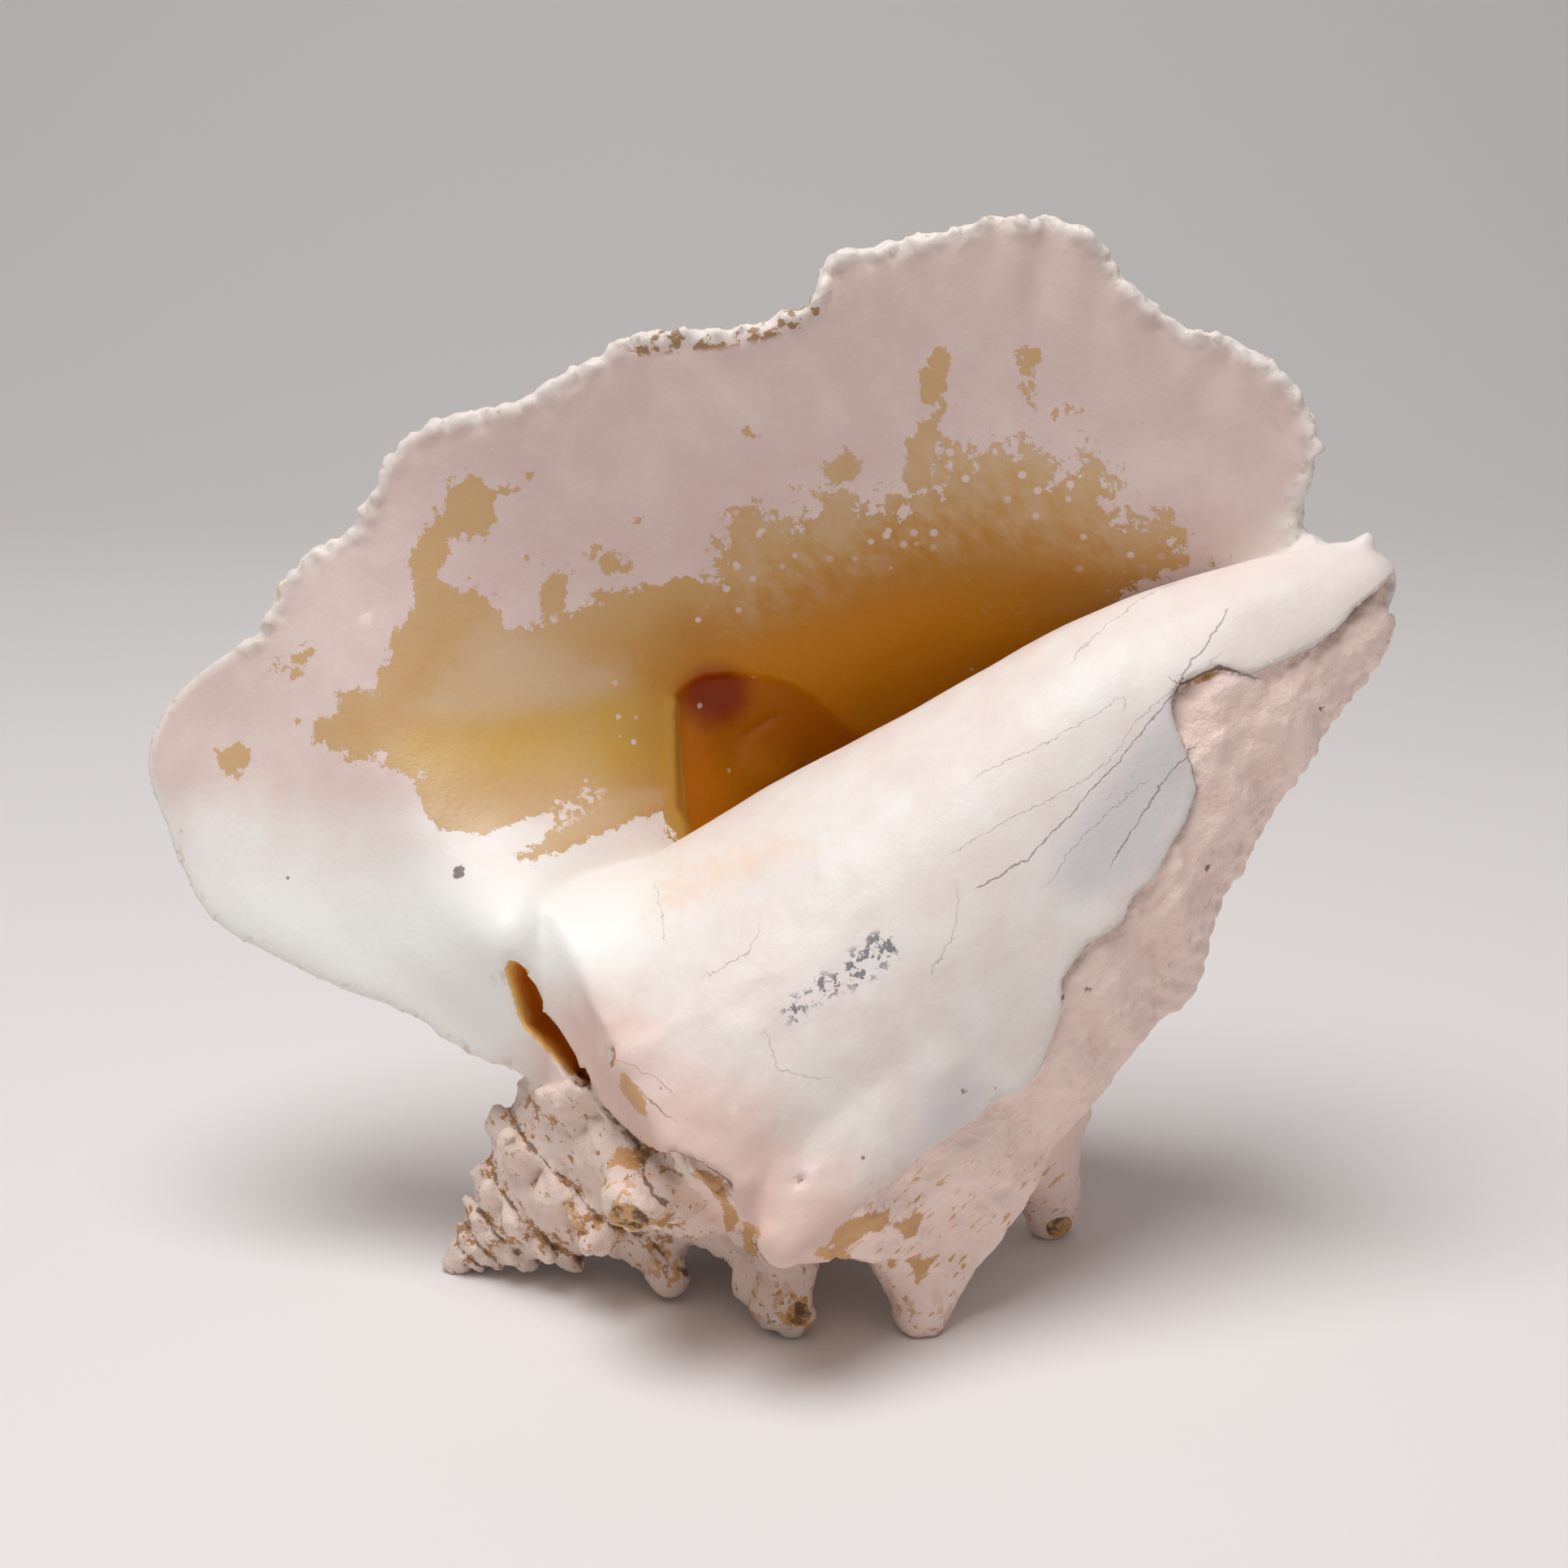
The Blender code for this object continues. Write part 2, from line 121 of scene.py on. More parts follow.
def ramp_radius(growth, s):
    """Radius between the suture on the whorl before and the shoulder, with blunt knobs on early whorls."""
    s0, r0 = shoulder(growth)
    s1, r1 = shoulder(growth - 360)
    share = np.clip((s - s1) / (s0 - s1), 0, 1)
    tuck = r1 * SUTURE_TUCK
    row = np.cos(np.radians(growth) * SPIRE_KNOBS / 2) ** 4
    row = row * (1 - ease(LAST_SMALL_KNOB, LAST_SMALL_KNOB + 60, growth))
    return tuck + (r0 - tuck) * share**1.25 + 0.17 * r0 * row * hill(s - s0, 0.13 * s0)


def columella_coat(growth, s):
    """Extra shell that the animal laid over the inner side of the mouth."""
    a = AXIS_LENGTH - s
    inner = CANAL_COAT * hill(a - 52, 38) * ease(-150, -100, growth) * (1 - ease(-60, 30, growth))
    return inner + LOBE_COAT * hill(growth + 72, 28) * hill(a - 186, 16)


def skirt(growth, beyond):
    """Height of the shell that joins the front spines, at a distance beyond the shoulder."""
    share = np.where(beyond > 0, beyond / SKIRT_RUNS[0], -beyond / SKIRT_RUNS[1])
    return through(SKIRT, growth)[..., 0] * (1 - ease(0, 1, share))


def whorl_radius(growth, s):
    """Outside radius of one whorl at a growth angle, above and below its shoulder."""
    s0, r0 = shoulder(growth)
    body = r0 * through(TAPER, (AXIS_LENGTH - s) / (AXIS_LENGTH - s0))[..., 0]
    lumps = sum(high * hill(growth - at, 11) * hill(s - down, 11) for at, down, high in LUMPS)
    radius = np.where(s < s0, ramp_radius(growth, s), body)
    return radius + columella_coat(growth, s) + lumps + skirt(growth, s - s0)


def coil_radius(growth, s):
    """Outside radius of the coil whose last whorl passes at this growth angle."""
    radius = whorl_radius(growth, s)
    turn = growth
    for _ in range(7):
        turn = np.maximum(turn - 360, SHOULDER[0][0] + 360)
        radius = np.where(s < shoulder(turn)[0], ramp_radius(turn, s), radius)
    return radius


def core():
    """What lies inside the open whorl: the spire, the columella and the earlier whorls."""
    around = CAVITY_END + np.linspace(0, 360, 480, endpoint=False)
    s = np.concatenate([np.linspace(0, 90, 330), np.linspace(91.5, AXIS_LENGTH + 1.8, 270)])
    growth, s = np.meshgrid(around, s)
    opened = ease(CAVITY_END, CAVITY_END + CAVITY_FADE, growth)
    radius = coil_radius(growth - 360, s) * opened + coil_radius(growth, s) * (1 - opened)
    canal_end = np.sqrt(np.clip(1 - (np.clip(s - AXIS_LENGTH + 5, 0, None) / 7) ** 2, 0, 1))
    return polar(growth, np.maximum(radius * canal_end, 0.3), s)


# ---------------------------------------------------------------------------
# The last whorl and the flared lip
# The last half turn is an open wall of the same shell that spreads into the flared lip. The lip is thicker
# than the wall but thins towards its edge, which weather has chipped and flaked.
# ---------------------------------------------------------------------------
WALL = 5.0
LIP_THICK = 7.0
RIM_THICK = 3.6
THROAT_ANGLE = 222.0
# How straight the lip leaves the throat and comes up to its edge
LEAVE_PULL = 0.9
ARRIVE_PULL = 0.9
# Where along a growth line the shoulder lies, and the groove inside it
SHOULDER_SHARE = 0.3
GROOVE_DEPTH = 4.0
FLUTES = 30
FLUTE_HEIGHT = 0.8
# The edge of the flared lip, from where it joins the spire round to the siphonal canal: z, y, x
LIP_EDGE = (
    (205, 20, 18), (214, 34, 16), (220, 48, 14), (232, 67, 12), (243, 93, 9), (240, 113, 5), (234, 129, 3),
    (222, 136, 2), (194, 137, 2), (185, 142, 2), (166, 141, 3), (150, 147, 5), (140, 147, 6), (121, 138, 8),
    (101, 135, 9), (90, 131, 9), (73, 121, 9), (60, 117, 9), (52, 121, 9), (38, 114, 9), (28, 110, 9),
    (14, 102, 8), (6, 92, 8), (5, 77, 6), (1, 63, 5), (-6, 54, 4), (-9, 44, 3), (-8, 30, 2), (2, 22, 1),
    (14, 9, -5),
)
# The thick lobe where the columella runs out on to the lip: y, z and rise of each swelling,
# and how far it reaches towards the axis, the rim, the canal and the spire
LOBE = ((55, 187, 15, 38, 61, 34, 20), (46, 185, 11, 30, 16, 20, 13), (50, 178, 8, 14, 13, 9, 16))
# The hollow of the last spine, seen inside the mouth: x, y, z, depth, width
SPINE_HOLLOW = (-40.0, 62.0, 132.0, 10.0, 9.0)


def growth_line(growth, count):
    """The wall's outside along one growth line, from the suture over the shoulder to the canal."""
    s0, _ = shoulder(growth)
    s1, _ = shoulder(growth - 360)
    along = np.linspace(0, 1, count)
    ramp = s1 + 1 + (s0 - s1 - 1) * along / SHOULDER_SHARE
    body = s0 + (AXIS_LENGTH - 4 - s0) * (along - SHOULDER_SHARE) / (1 - SHOULDER_SHARE)
    s = np.where(along < SHOULDER_SHARE, ramp, body)
    return polar(growth, whorl_radius(growth, s), s)


def normals(grid):
    """Surface normals of a grid of points, away from the mouth."""
    return unit(np.cross(np.gradient(grid, axis=0), np.gradient(grid, axis=1)))


def lip_edge(count):
    """Points along the lip's edge and the direction in which the lip reaches each of them."""
    points = np.array([(x, y, z) for z, y, x in LIP_EDGE], float)
    length = np.concatenate([[0], np.cumsum(np.linalg.norm(np.diff(points, axis=0), axis=1))])
    edge = through(np.c_[length / length[-1], points], np.linspace(0, 1, count))
    return edge, unit(np.cross((1.0, 0.0, 0.0), np.gradient(edge, axis=0)))


def outer_wall(turns=50, steps=36, count=80):
    """The last whorl and the flared lip, as one sheet with thickness: its inside and outside points."""
    along = np.linspace(0, 1, count)
    body = np.array([growth_line(g, count) for g in np.linspace(CAVITY_END - 20, THROAT_ANGLE, turns)])
    body = body - normals(body) * WALL
    throat = body[-1]
    leave = unit(body[-1] - body[-2])
    edge, out = lip_edge(count)
    reach = np.linalg.norm(edge - throat, axis=1, keepdims=True)
    lean = 0.30 * ease(0.35, 0.6, along) - 0.35 * (1 - ease(0.2, 0.4, along))
    arrive = unit(out + lean[:, None] * np.array((1.0, 0.0, 0.0)))
    u = np.linspace(0, 1, steps)[1:, None, None]
    lip = (
        throat * (1 + 2 * u) * (1 - u) ** 2
        + leave * reach * LEAVE_PULL * u * (1 - u) ** 2
        + edge * u**2 * (3 - 2 * u)
        + arrive * reach * ARRIVE_PULL * u**2 * (u - 1)
    )
    inside = np.concatenate([body, lip])
    spread = np.concatenate([np.zeros(turns), u.ravel()])[:, None]

    # The fold of the shoulder fades out towards the lip
    age = np.arange(turns + steps - 1)[:, None]
    calm = ease(turns - 14, turns, age) * (1 - ease(0.5, 1.0, spread))
    for _ in range(60):
        inside[:, 1:-1] += calm[..., None] * (inside[:, 2:] + inside[:, :-2] - 2 * inside[:, 1:-1]) / 4

    fluted = ease(0.55, 0.62, along) * (1 - ease(0.86, 0.92, along)) * ease(0.6, 1.0, spread)
    flutes = FLUTE_HEIGHT * np.sin(2 * np.pi * FLUTES * along) * fluted
    mouth = ease(turns - 20, turns, age)
    groove = GROOVE_DEPTH * hill(along - SHOULDER_SHARE, 0.05) * (1 - ease(0.0, 0.25, spread)) * mouth
    inside = inside + normals(inside) * (flutes + groove)[..., None]
    thick = WALL + (LIP_THICK - WALL) * ease(0.1, 0.5, spread)
    thick = thick - (LIP_THICK - RIM_THICK) * ease(0.75, 1.0, spread)
    outside = inside + normals(inside) * thick[..., None]

    lobe = 0
    for y, z, rise, inward, outward, down, up in LOBE:
        aside, above = inside[..., 1] - y, inside[..., 2] - z
        across = hill(aside, np.where(aside < 0, inward, outward))
        lobe = lobe + rise * across * hill(above, np.where(above < 0, down, up))
    lobe = lobe * mouth * (1 - ease(0.75, 1.0, spread))
    inside = inside + lobe[..., None] * np.array((1.0, 0.0, 0.0))
    hollow = SPINE_HOLLOW[3] * hill(np.linalg.norm(inside - SPINE_HOLLOW[:3], axis=-1), SPINE_HOLLOW[4])
    return inside + normals(inside) * hollow[..., None], outside


def finer(grid, times):
    """The same sheet of points, smoothly filled in between, both ways."""
    for _ in range(2):
        count = len(grid)
        known = np.c_[np.arange(count), grid.reshape(count, -1)]
        filled = through(known, np.linspace(0, count - 1, (count - 1) * times + 1))
        grid = filled.reshape(len(filled), -1, 3).swapaxes(0, 1)
    return grid


def waver(x, seed, sizes):
    """Uneven line along x in mm, summed from waves of these lengths and heights."""
    total = np.zeros(len(x))
    for long, high in sizes:
        total += high * np.array([noise.noise(Vector((v / long, seed, long))) for v in x])
    return total


# The sheets are grown, then the lip's edge is broken as weather leaves it: fewest chips by the spire
NICKS = ((1.8, 0.5), (4.2, 0.9), (9.5, 1.1), (24.0, 1.0))
BITES = ((2.4, 1.2), (5.0, 1.2), (9.0, 1.4))
WORN_BACK = 1.5
BROKEN_EDGE = 14
wall_inside, wall_outside = outer_wall()
wall_inside = finer(wall_inside, 4)
wall_outside = finer(wall_outside, 4)
rim_line = wall_inside[-1]
rim_length = np.concatenate([[0], np.cumsum(np.linalg.norm(np.diff(rim_line, axis=0), axis=1))])
rim_reach = np.linalg.norm(wall_inside - rim_line, axis=-1)
outward = unit(wall_inside[-1] - wall_inside[-3])
weathered = 0.35 + 0.75 * ease(222, 200, rim_line[:, 2])
nibble = waver(rim_length, 1.3, NICKS) + 0.9 * np.abs(waver(rim_length, 4.1, BITES))
for sheet in (wall_inside, wall_outside):
    near_rim = (1 - ease(0, BROKEN_EDGE, rim_reach))[..., None]
    sheet += outward * (weathered * nibble - WORN_BACK)[:, None] * near_rim

# ---------------------------------------------------------------------------
# The spines, the canal's small point and the slit
# Blunt horns of shell stand on the shoulder of the last whorl, grown out of it, with smaller ones by the
# spire. Below the lip's foot a narrow slit is left open between the lip and the whorl before it.
# ---------------------------------------------------------------------------
SPINE_ROOT = 2.5
# Spines: growth angle at the foot and at the tip, distance from the apex at both, tip radius from the axis,
# half width of the foot along the whorl, towards the apex and towards the canal, half width at the tip,
# sharpness of the flare
SPINES = (
    (-14, -18, 84, 67.5, 54, 22, 14, 34, 4.5, 1.0),
    (32, 27, 86, 72, 68, 30, 15, 56, 5.0, 1.0),
    (78, 74, 95, 77, 70.6, 28, 17, 52, 5.5, 1.0),
    (114, 111, 120, 107, 84.8, 18, 17, 26, 6.0, 1.4),
    (152, 152, 118, 104, 82, 16, 16, 16, 5.0, 1.4),
    (193, 194, 122, 108, 84, 16, 16, 16, 5.0, 1.4),
    (224, 236, 124, 112, 88, 15, 17, 17, 5.0, 1.3),
    (-346, -348, 62, 52, 53.5, 12, 12, 12, 6.0, 1.3),
    (-296, -296, 67, 60, 57.5, 14, 12, 13, 3.4, 1.1),
    (-226, -226, 68, 63, 57.2, 13, 11, 12, 4.4, 1.3),
    (-172, -172, 70, 65, 58, 11, 10, 10, 4.0, 1.6),
    (-697, -697, 40, 34, 29.0, 9, 8, 8, 2.3, 1.1),
    (-648, -648, 44, 41, 33.5, 9, 7, 8, 2.2, 1.2),
)
# The small point at the end of the canal: root and tip, x, y, z
CANAL_CORNER = ((1.0, 3.5, 6.0), (3.0, 7.0, -2.5))
CORNER_RADII = (5.5, 1.2)
# The narrow slit that is left between the lip and the whorl before it: x, y, z, half width, half depth
SLIT = (
    (29.5, 45.8, 189.0, 0.6, 6.0), (28.5, 43.5, 189.7, 1.1, 7.5), (27.0, 41.4, 190.2, 1.8, 8.0),
    (24.0, 34.8, 192.6, 2.6, 8.5), (22.0, 31.2, 194.2, 2.7, 8.5), (23.0, 25.6, 193.4, 2.9, 8.5),
    (24.0, 19.6, 193.4, 2.8, 8.5), (24.0, 16.0, 193.8, 2.4, 8.0), (22.5, 11.5, 194.8, 0.8, 6.0),
)
SLIT_LEAN = (1.0, 0.3, 0.0)


def spine(growth, tip_growth, s, tip_s, tip_radius, along, up, down, tip_width, sharpness):
    """A blunt horn whose foot follows the whorl that it grows from."""
    turn = np.linspace(0, 2 * np.pi, 72, endpoint=False)
    foot_s = s + np.where(np.sin(turn) > 0, down, up) * np.sin(turn)
    foot_growth = growth + np.degrees(along * np.cos(turn) / whorl_radius(growth, s))
    foot = polar(foot_growth, whorl_radius(foot_growth, foot_s) - SPINE_ROOT, foot_s)
    centre = polar(growth, whorl_radius(growth, s) - SPINE_ROOT, s)
    tip = polar(tip_growth, tip_radius, tip_s)
    way = unit(tip - centre)
    side = unit(np.cross(way, (0.0, 0.0, 1.0)))
    rise = np.cross(way, side)
    round_end = side * np.cos(turn)[:, None] + rise * np.sin(turn)[:, None]
    dome = tip_width * 0.8
    length = np.linalg.norm(tip - centre) - dome
    rings = []
    for share in np.linspace(0, 1, 42):
        flare = (1 - share) ** sharpness
        shaft = (foot - centre) * flare + round_end * tip_width * (1 - flare)
        rings.append(centre + way * length * share + shaft)
    for bend in np.radians((25, 50, 72)):
        rings.append(centre + way * (length + dome * np.sin(bend)) + round_end * tip_width * np.cos(bend))
    return np.array(rings)


def canal_corner():
    """The callus draws out to a small point at the end of the canal."""
    root, tip = np.array(CANAL_CORNER)
    turn = np.linspace(0, 2 * np.pi, 16, endpoint=False)[:, None]
    across = unit(np.cross(tip - root, (1.0, 0.0, 0.0)))
    ring = np.cos(turn) * np.array((1.0, 0.0, 0.0)) + np.sin(turn) * across
    root_radius, tip_radius = CORNER_RADII
    shares = np.linspace(0, 1, 5)
    radii = root_radius + (tip_radius - root_radius) * shares
    return np.array([root + (tip - root) * share + ring * radius for share, radius in zip(shares, radii)])


def slit():
    """The blade-shaped hollow of the slit, deeper than it is wide."""
    path = np.array(SLIT)
    middle = path[:, None, :3]
    along = unit(np.gradient(middle, axis=0))
    deep = unit(np.array(SLIT_LEAN))
    across = unit(np.cross(deep, along))
    turn = np.linspace(0, 2 * np.pi, 20, endpoint=False)[:, None]
    return middle + across * np.cos(turn) * path[:, None, 3:4] + deep * np.sin(turn) * path[:, None, 4:5]


# ---------------------------------------------------------------------------
# One skin
# All of these are one piece of shell, grown together without a joint. The closed surfaces are wrapped in
# one even skin, the slit is cut through it, and the skin is closed and softened again.
# ---------------------------------------------------------------------------
def tube_mesh(rows):
    """Closed surface over rings of points, capped with a fan at both ends."""
    count, ring = rows.shape[:2]
    points = list(rows.reshape(-1, 3)) + [rows[0].mean(0), rows[-1].mean(0)]
    faces = []
    for i in range(count - 1):
        for j in range(ring):
            k = (j + 1) % ring
            faces.append((i * ring + j, i * ring + k, (i + 1) * ring + k, (i + 1) * ring + j))
    last = (count - 1) * ring
    for j in range(ring):
        k = (j + 1) % ring
        faces.append((count * ring, k, j))
        faces.append((count * ring + 1, last + j, last + k))
    return points, faces


def sheet_mesh(inside, outside):
    """Closed surface round two grids of points."""
    rows, columns = inside.shape[:2]
    size = rows * columns
    points = list(inside.reshape(-1, 3)) + list(outside.reshape(-1, 3))
    faces = []
    for i in range(rows - 1):
        for j in range(columns - 1):
            a = i * columns + j
            faces.append((a, a + 1, a + columns + 1, a + columns))
            faces.append((size + a, size + a + columns, size + a + columns + 1, size + a + 1))
    border = list(range(columns))
    border += [i * columns + columns - 1 for i in range(1, rows)]
    border += [(rows - 1) * columns + j for j in range(columns - 2, -1, -1)]
    border += [i * columns for i in range(rows - 2, 0, -1)]
    for a, b in zip(border, border[1:] + border[:1]):
        faces.append((b, a, size + a, size + b))
    return points, faces


def joined(name, parts):
    """One mesh, in metres, from several closed surfaces."""
    points, faces = [], []
    for some_points, some_faces in parts:
        start = len(points)
        points += [tuple(p * MM) for p in some_points]
        faces += [tuple(start + i for i in face) for face in some_faces]
    mesh = bpy.data.meshes.new(name)
    mesh.from_pydata(points, [], faces)
    return mesh


SKIN_VOXEL = 0.95


def skin(thing, name):
    """One even skin round everything."""
    wrap = thing.modifiers.new(name, "REMESH")
    wrap.mode = "VOXEL"
    wrap.voxel_size = SKIN_VOXEL * MM


surfaces = [tube_mesh(core()), sheet_mesh(wall_inside, wall_outside), tube_mesh(canal_corner())]
surfaces += [tube_mesh(spine(*row)) for row in SPINES]
raw = bpy.data.objects.new("raw_shell", joined("raw_shell", surfaces))
bpy.context.scene.collection.objects.link(raw)
blade = bpy.data.objects.new("slit_form", joined("slit_form", [tube_mesh(slit())]))
bpy.context.scene.collection.objects.link(blade)
skin(raw, "grow")
cut = raw.modifiers.new("slit", "BOOLEAN")
cut.object = blade
cut.operation = "DIFFERENCE"
cut.solver = "EXACT"
skin(raw, "heal")
soften = raw.modifiers.new("soften", "SMOOTH")
soften.factor = 0.5
soften.iterations = 3
skinned = bpy.data.meshes.new_from_object(raw.evaluated_get(bpy.context.evaluated_depsgraph_get()))
bpy.data.objects.remove(raw)
bpy.data.objects.remove(blade)

# ---------------------------------------------------------------------------
# Wear and relief
# The skin is one lump of shell: an outer chalky layer with cords and bumps, and over it on the mouth side
# the callus, a thin glaze that ends in a low step. Bored pits and broken spine tips are sunk into it.
# ---------------------------------------------------------------------------
count = len(skinned.vertices)
place = np.zeros(count * 3)
skinned.vertices.foreach_get("co", place)
place = place.reshape(-1, 3) / MM
ventral, lipward, apexward = place.T
facing = np.zeros(count * 3)
skinned.vertex_normals.foreach_get("vector", facing)
facing = facing.reshape(-1, 3)
edges = np.zeros(len(skinned.edges) * 2, int)
skinned.edges.foreach_get("vertices", edges)
one_end, other_end = edges.reshape(-1, 2).T
degree = np.bincount(edges, minlength=count)


def spread(values, times):
    """Even a value out over neighbouring points of the skin."""
    for _ in range(times):
        total = np.bincount(one_end, values[other_end], count)
        total = total + np.bincount(other_end, values[one_end], count)
        values = 0.5 * values + 0.5 * total / degree
    return values


def clouds(size, seed, octaves=3):
    """Soft random lumps of one size over the skin, about -1 to 1."""
    shift = Vector((seed * 17.3, seed * 5.1, seed * 9.7))
    return np.array([noise.fractal(Vector(p) / size + shift, 1.0, 2.0, octaves) for p in place])


def nearest_of(points):
    """For each point of the skin, the number of the nearest of these points and its distance."""
    tree = kdtree.KDTree(len(points))
    for i, p in enumerate(points):
        tree.insert(p, i)
    tree.balance()
    found = np.array([tree.find(p)[1:] for p in place])
    return found[:, 0].astype(int), found[:, 1]


# What each point of the skin belongs to: the coil inside, the wall's two faces or a spine
CORE, INSIDE, OUTSIDE, HORN = range(4)
OPEN_ROW = 20 * 4
LINED_ROW = OPEN_ROW + 40
SPARSE = slice(None, None, 2)
COAT_NEAR = 2.0
core_points = core()[::2, ::3].reshape(-1, 3)
lined = wall_inside[LINED_ROW:][SPARSE, SPARSE].reshape(-1, 3)
coated = wall_outside[OPEN_ROW:][SPARSE, SPARSE].reshape(-1, 3)
horn_points = np.concatenate([spine(*row).reshape(-1, 3) for row in SPINES])
sources = (core_points, lined, coated, horn_points)
kinds = np.repeat(range(4), [len(points) for points in sources])
nearest, _ = nearest_of(np.concatenate(sources))
coat_nearest, coat_away = nearest_of(coated)
belongs = kinds[nearest]
belongs = np.where((belongs == CORE) & (coat_away < COAT_NEAR), OUTSIDE, belongs)

# How far each point is from the lip's edge and how far along the edge it lies
FAR = 200.0


def told(values, default):
    """A value known on the grown sheets, carried over to the skin."""
    inner = values[LINED_ROW:][SPARSE, SPARSE].ravel()
    coat = values[OPEN_ROW:][SPARSE, SPARSE].ravel()
    at_inner = inner[np.where(belongs == INSIDE, nearest - len(core_points), 0)]
    at_coat = np.where(belongs == OUTSIDE, coat[coat_nearest], default)
    return spread(np.where(belongs == INSIDE, at_inner, at_coat), 4)


rim = told(rim_reach, FAR)
run = told(np.broadcast_to(rim_length, wall_inside.shape[:2]), 0.0)

# The whorls that each point lies between
radius = np.hypot(ventral, lipward)
growth = np.degrees(np.arctan2(-lipward, ventral))
growth = np.where(growth > CAVITY_END, growth - 360, growth)
apex_way = AXIS_LENGTH - apexward
shoulder_way = shoulder(growth)[0] - apex_way
levels = np.array([shoulder(growth - 360 * turn)[0] for turn in range(9)])
suture = np.abs(apex_way - levels[1:7] - 1.0).min(0)
turn_here = np.clip((levels > apex_way - 1).sum(0) - 1, 0, 7)
lower = np.take_along_axis(levels, turn_here[None], 0)[0]
upper = np.take_along_axis(levels, turn_here[None] + 1, 0)[0]
pitch = np.maximum(lower - upper, 1.0)
up_whorl = np.clip((lower + 1 - apex_way) / pitch, 0, 1)


def near(points):
    """Distance in mm, seen from the mouth side, to an open line of y and z, and which side of it."""
    best = np.full(count, 1e9)
    side = np.zeros(count)
    y, z = lipward, apexward
    line = np.array(points, float)
    for (y0, z0), (y1, z1) in zip(line, line[1:]):
        long = (y1 - y0) ** 2 + (z1 - z0) ** 2
        share = np.clip(((y - y0) * (y1 - y0) + (z - z0) * (z1 - z0)) / long, 0, 1)
        away = np.hypot(y - y0 - share * (y1 - y0), z - z0 - share * (z1 - z0))
        left = np.sign((y1 - y0) * (z - z0) - (z1 - z0) * (y - y0))
        side = np.where(away < best, left, side)
        best = np.minimum(away, best)
    return best, best * side


def within(outline):
    """Distance in mm, seen from the mouth side, to a closed outline of y and z, positive inside it."""
    line = np.array(list(outline) + [outline[0]], float)
    inside = np.zeros(count, bool)
    y, z = lipward, apexward
    for (y0, z0), (y1, z1) in zip(line, line[1:]):
        inside ^= ((z0 > z) != (z1 > z)) & (y < (y1 - y0) * (z - z0) / (z1 - z0 + 1e-9) + y0)
    best = near(line)[0]
    return np.where(inside, best, -best)


def reach(y, z):
    """Distance in mm, seen from the mouth side, to a place."""
    return np.hypot(lipward - y, apexward - z)


# The callus covers the whorl's front up to this edge, from the canal down to the spines
CALLUS_EDGE = [
    (-3, 3), (-3, 10), (-4, 16), (-4, 21), (-2, 29), (0, 36), (5, 40), (7, 48), (5, 52), (0, 54), (-4, 55),
    (-12, 58), (-16, 64), (-18, 70), (-21, 76), (-21, 81), (-24, 86), (-23, 94), (-25, 102), (-31, 107),
    (-35, 114), (-38, 121), (-36, 128), (-36, 135), (-35, 143), (-35, 153), (-34, 160), (-37, 167),
]
ROUND_THE_LIP = [
    (-42, 172), (-29, 186), (-21, 178), (-15, 175), (-9, 177), (-4, 180), (-1, 187), (4, 190), (10, 191),
    (15, 190), (18, 190), (18, 198), (20, 203), (20, 207), (24, 211), (30, 222), (40, 260), (170, 260),
    (170, -40), (-3, -40),
]
GLAZE_LIMIT = 20.0
front = ease(-0.15, 0.25, facing[:, 0])
edge_away, edge_side = near(CALLUS_EDGE)
cavity = (belongs == CORE) & (growth > -288) & (growth < -130) & (shoulder_way < -1.5)
cavity = cavity | (belongs == INSIDE)
faces_out = (facing[:, 0] > -0.1) & (lipward < 25)
glaze = np.where(faces_out | (belongs == CORE), within(CALLUS_EDGE + ROUND_THE_LIP), -GLAZE_LIMIT)
glaze = np.where(cavity, GLAZE_LIMIT, glaze)
behind = (belongs == CORE) & (facing[:, 0] < -0.1) & ~cavity & ((lipward < 0) | (apexward > 184))
glaze = np.where(behind, -GLAZE_LIMIT, glaze)
glaze = spread(np.clip(glaze, -GLAZE_LIMIT, GLAZE_LIMIT), 2)
outer = ease(0.4, -0.4, glaze)

# The fold deep in the mouth: an arch with a hollow behind it, and the drip that runs down beside it
ARCH = [
    (49.4, 151.8), (57.7, 146), (67.7, 138), (69.6, 135.8), (70, 131.9), (69, 128.3), (66.1, 123.5),
    (61.4, 118.3), (57, 114.7), (51, 112.4), (42.8, 111.8), (36, 110), (20, 120), (20, 155),
]
PIT = (63.8, 129.1)
RIDGE = [(67.7, 138), (63.7, 141.2), (57.7, 145.2), (49.8, 150.2), (44, 154)]
away_from_axis = (facing[:, :2] * place[:, :2]).sum(1) / radius
horn_outside = (belongs == HORN) & (away_from_axis > -0.6)
in_mouth = (facing[:, 0] > -0.4) & (lipward > 25) & (ventral < 3) & (rim > 20) & (away_from_axis < 0.75)
in_mouth = (spread(1.0 * (in_mouth | (belongs == INSIDE)), 8) > 0.5) & ~horn_outside
deep_inside = in_mouth * ease(-5, -12, ventral)
arch = within(ARCH)
pit_away = reach(*PIT)
ridge_away = near(RIDGE)[0]

# Relief, in millimetres along the skin's own direction: first the slow waves and the grain
broad = clouds(34.0, 1)
bumps = clouds(9.0, 2)
lumps = clouds(5.0, 5, 2)
grain = clouds(2.6, 3, 2)
calm_rim = ease(0, 10, rim)
low_callus = ease(105, 135, apexward) * front * (lipward < 30)
height = 0.4 * broad * calm_rim + outer * calm_rim * (0.5 * bumps + 0.35 * grain)
height += (1 - outer) * (0.08 * bumps + low_callus * (0.35 * bumps + 0.16 * lumps))
height += ease(7, 1, rim) * ease(215, 195, apexward) * (lumps + 0.8 * grain)

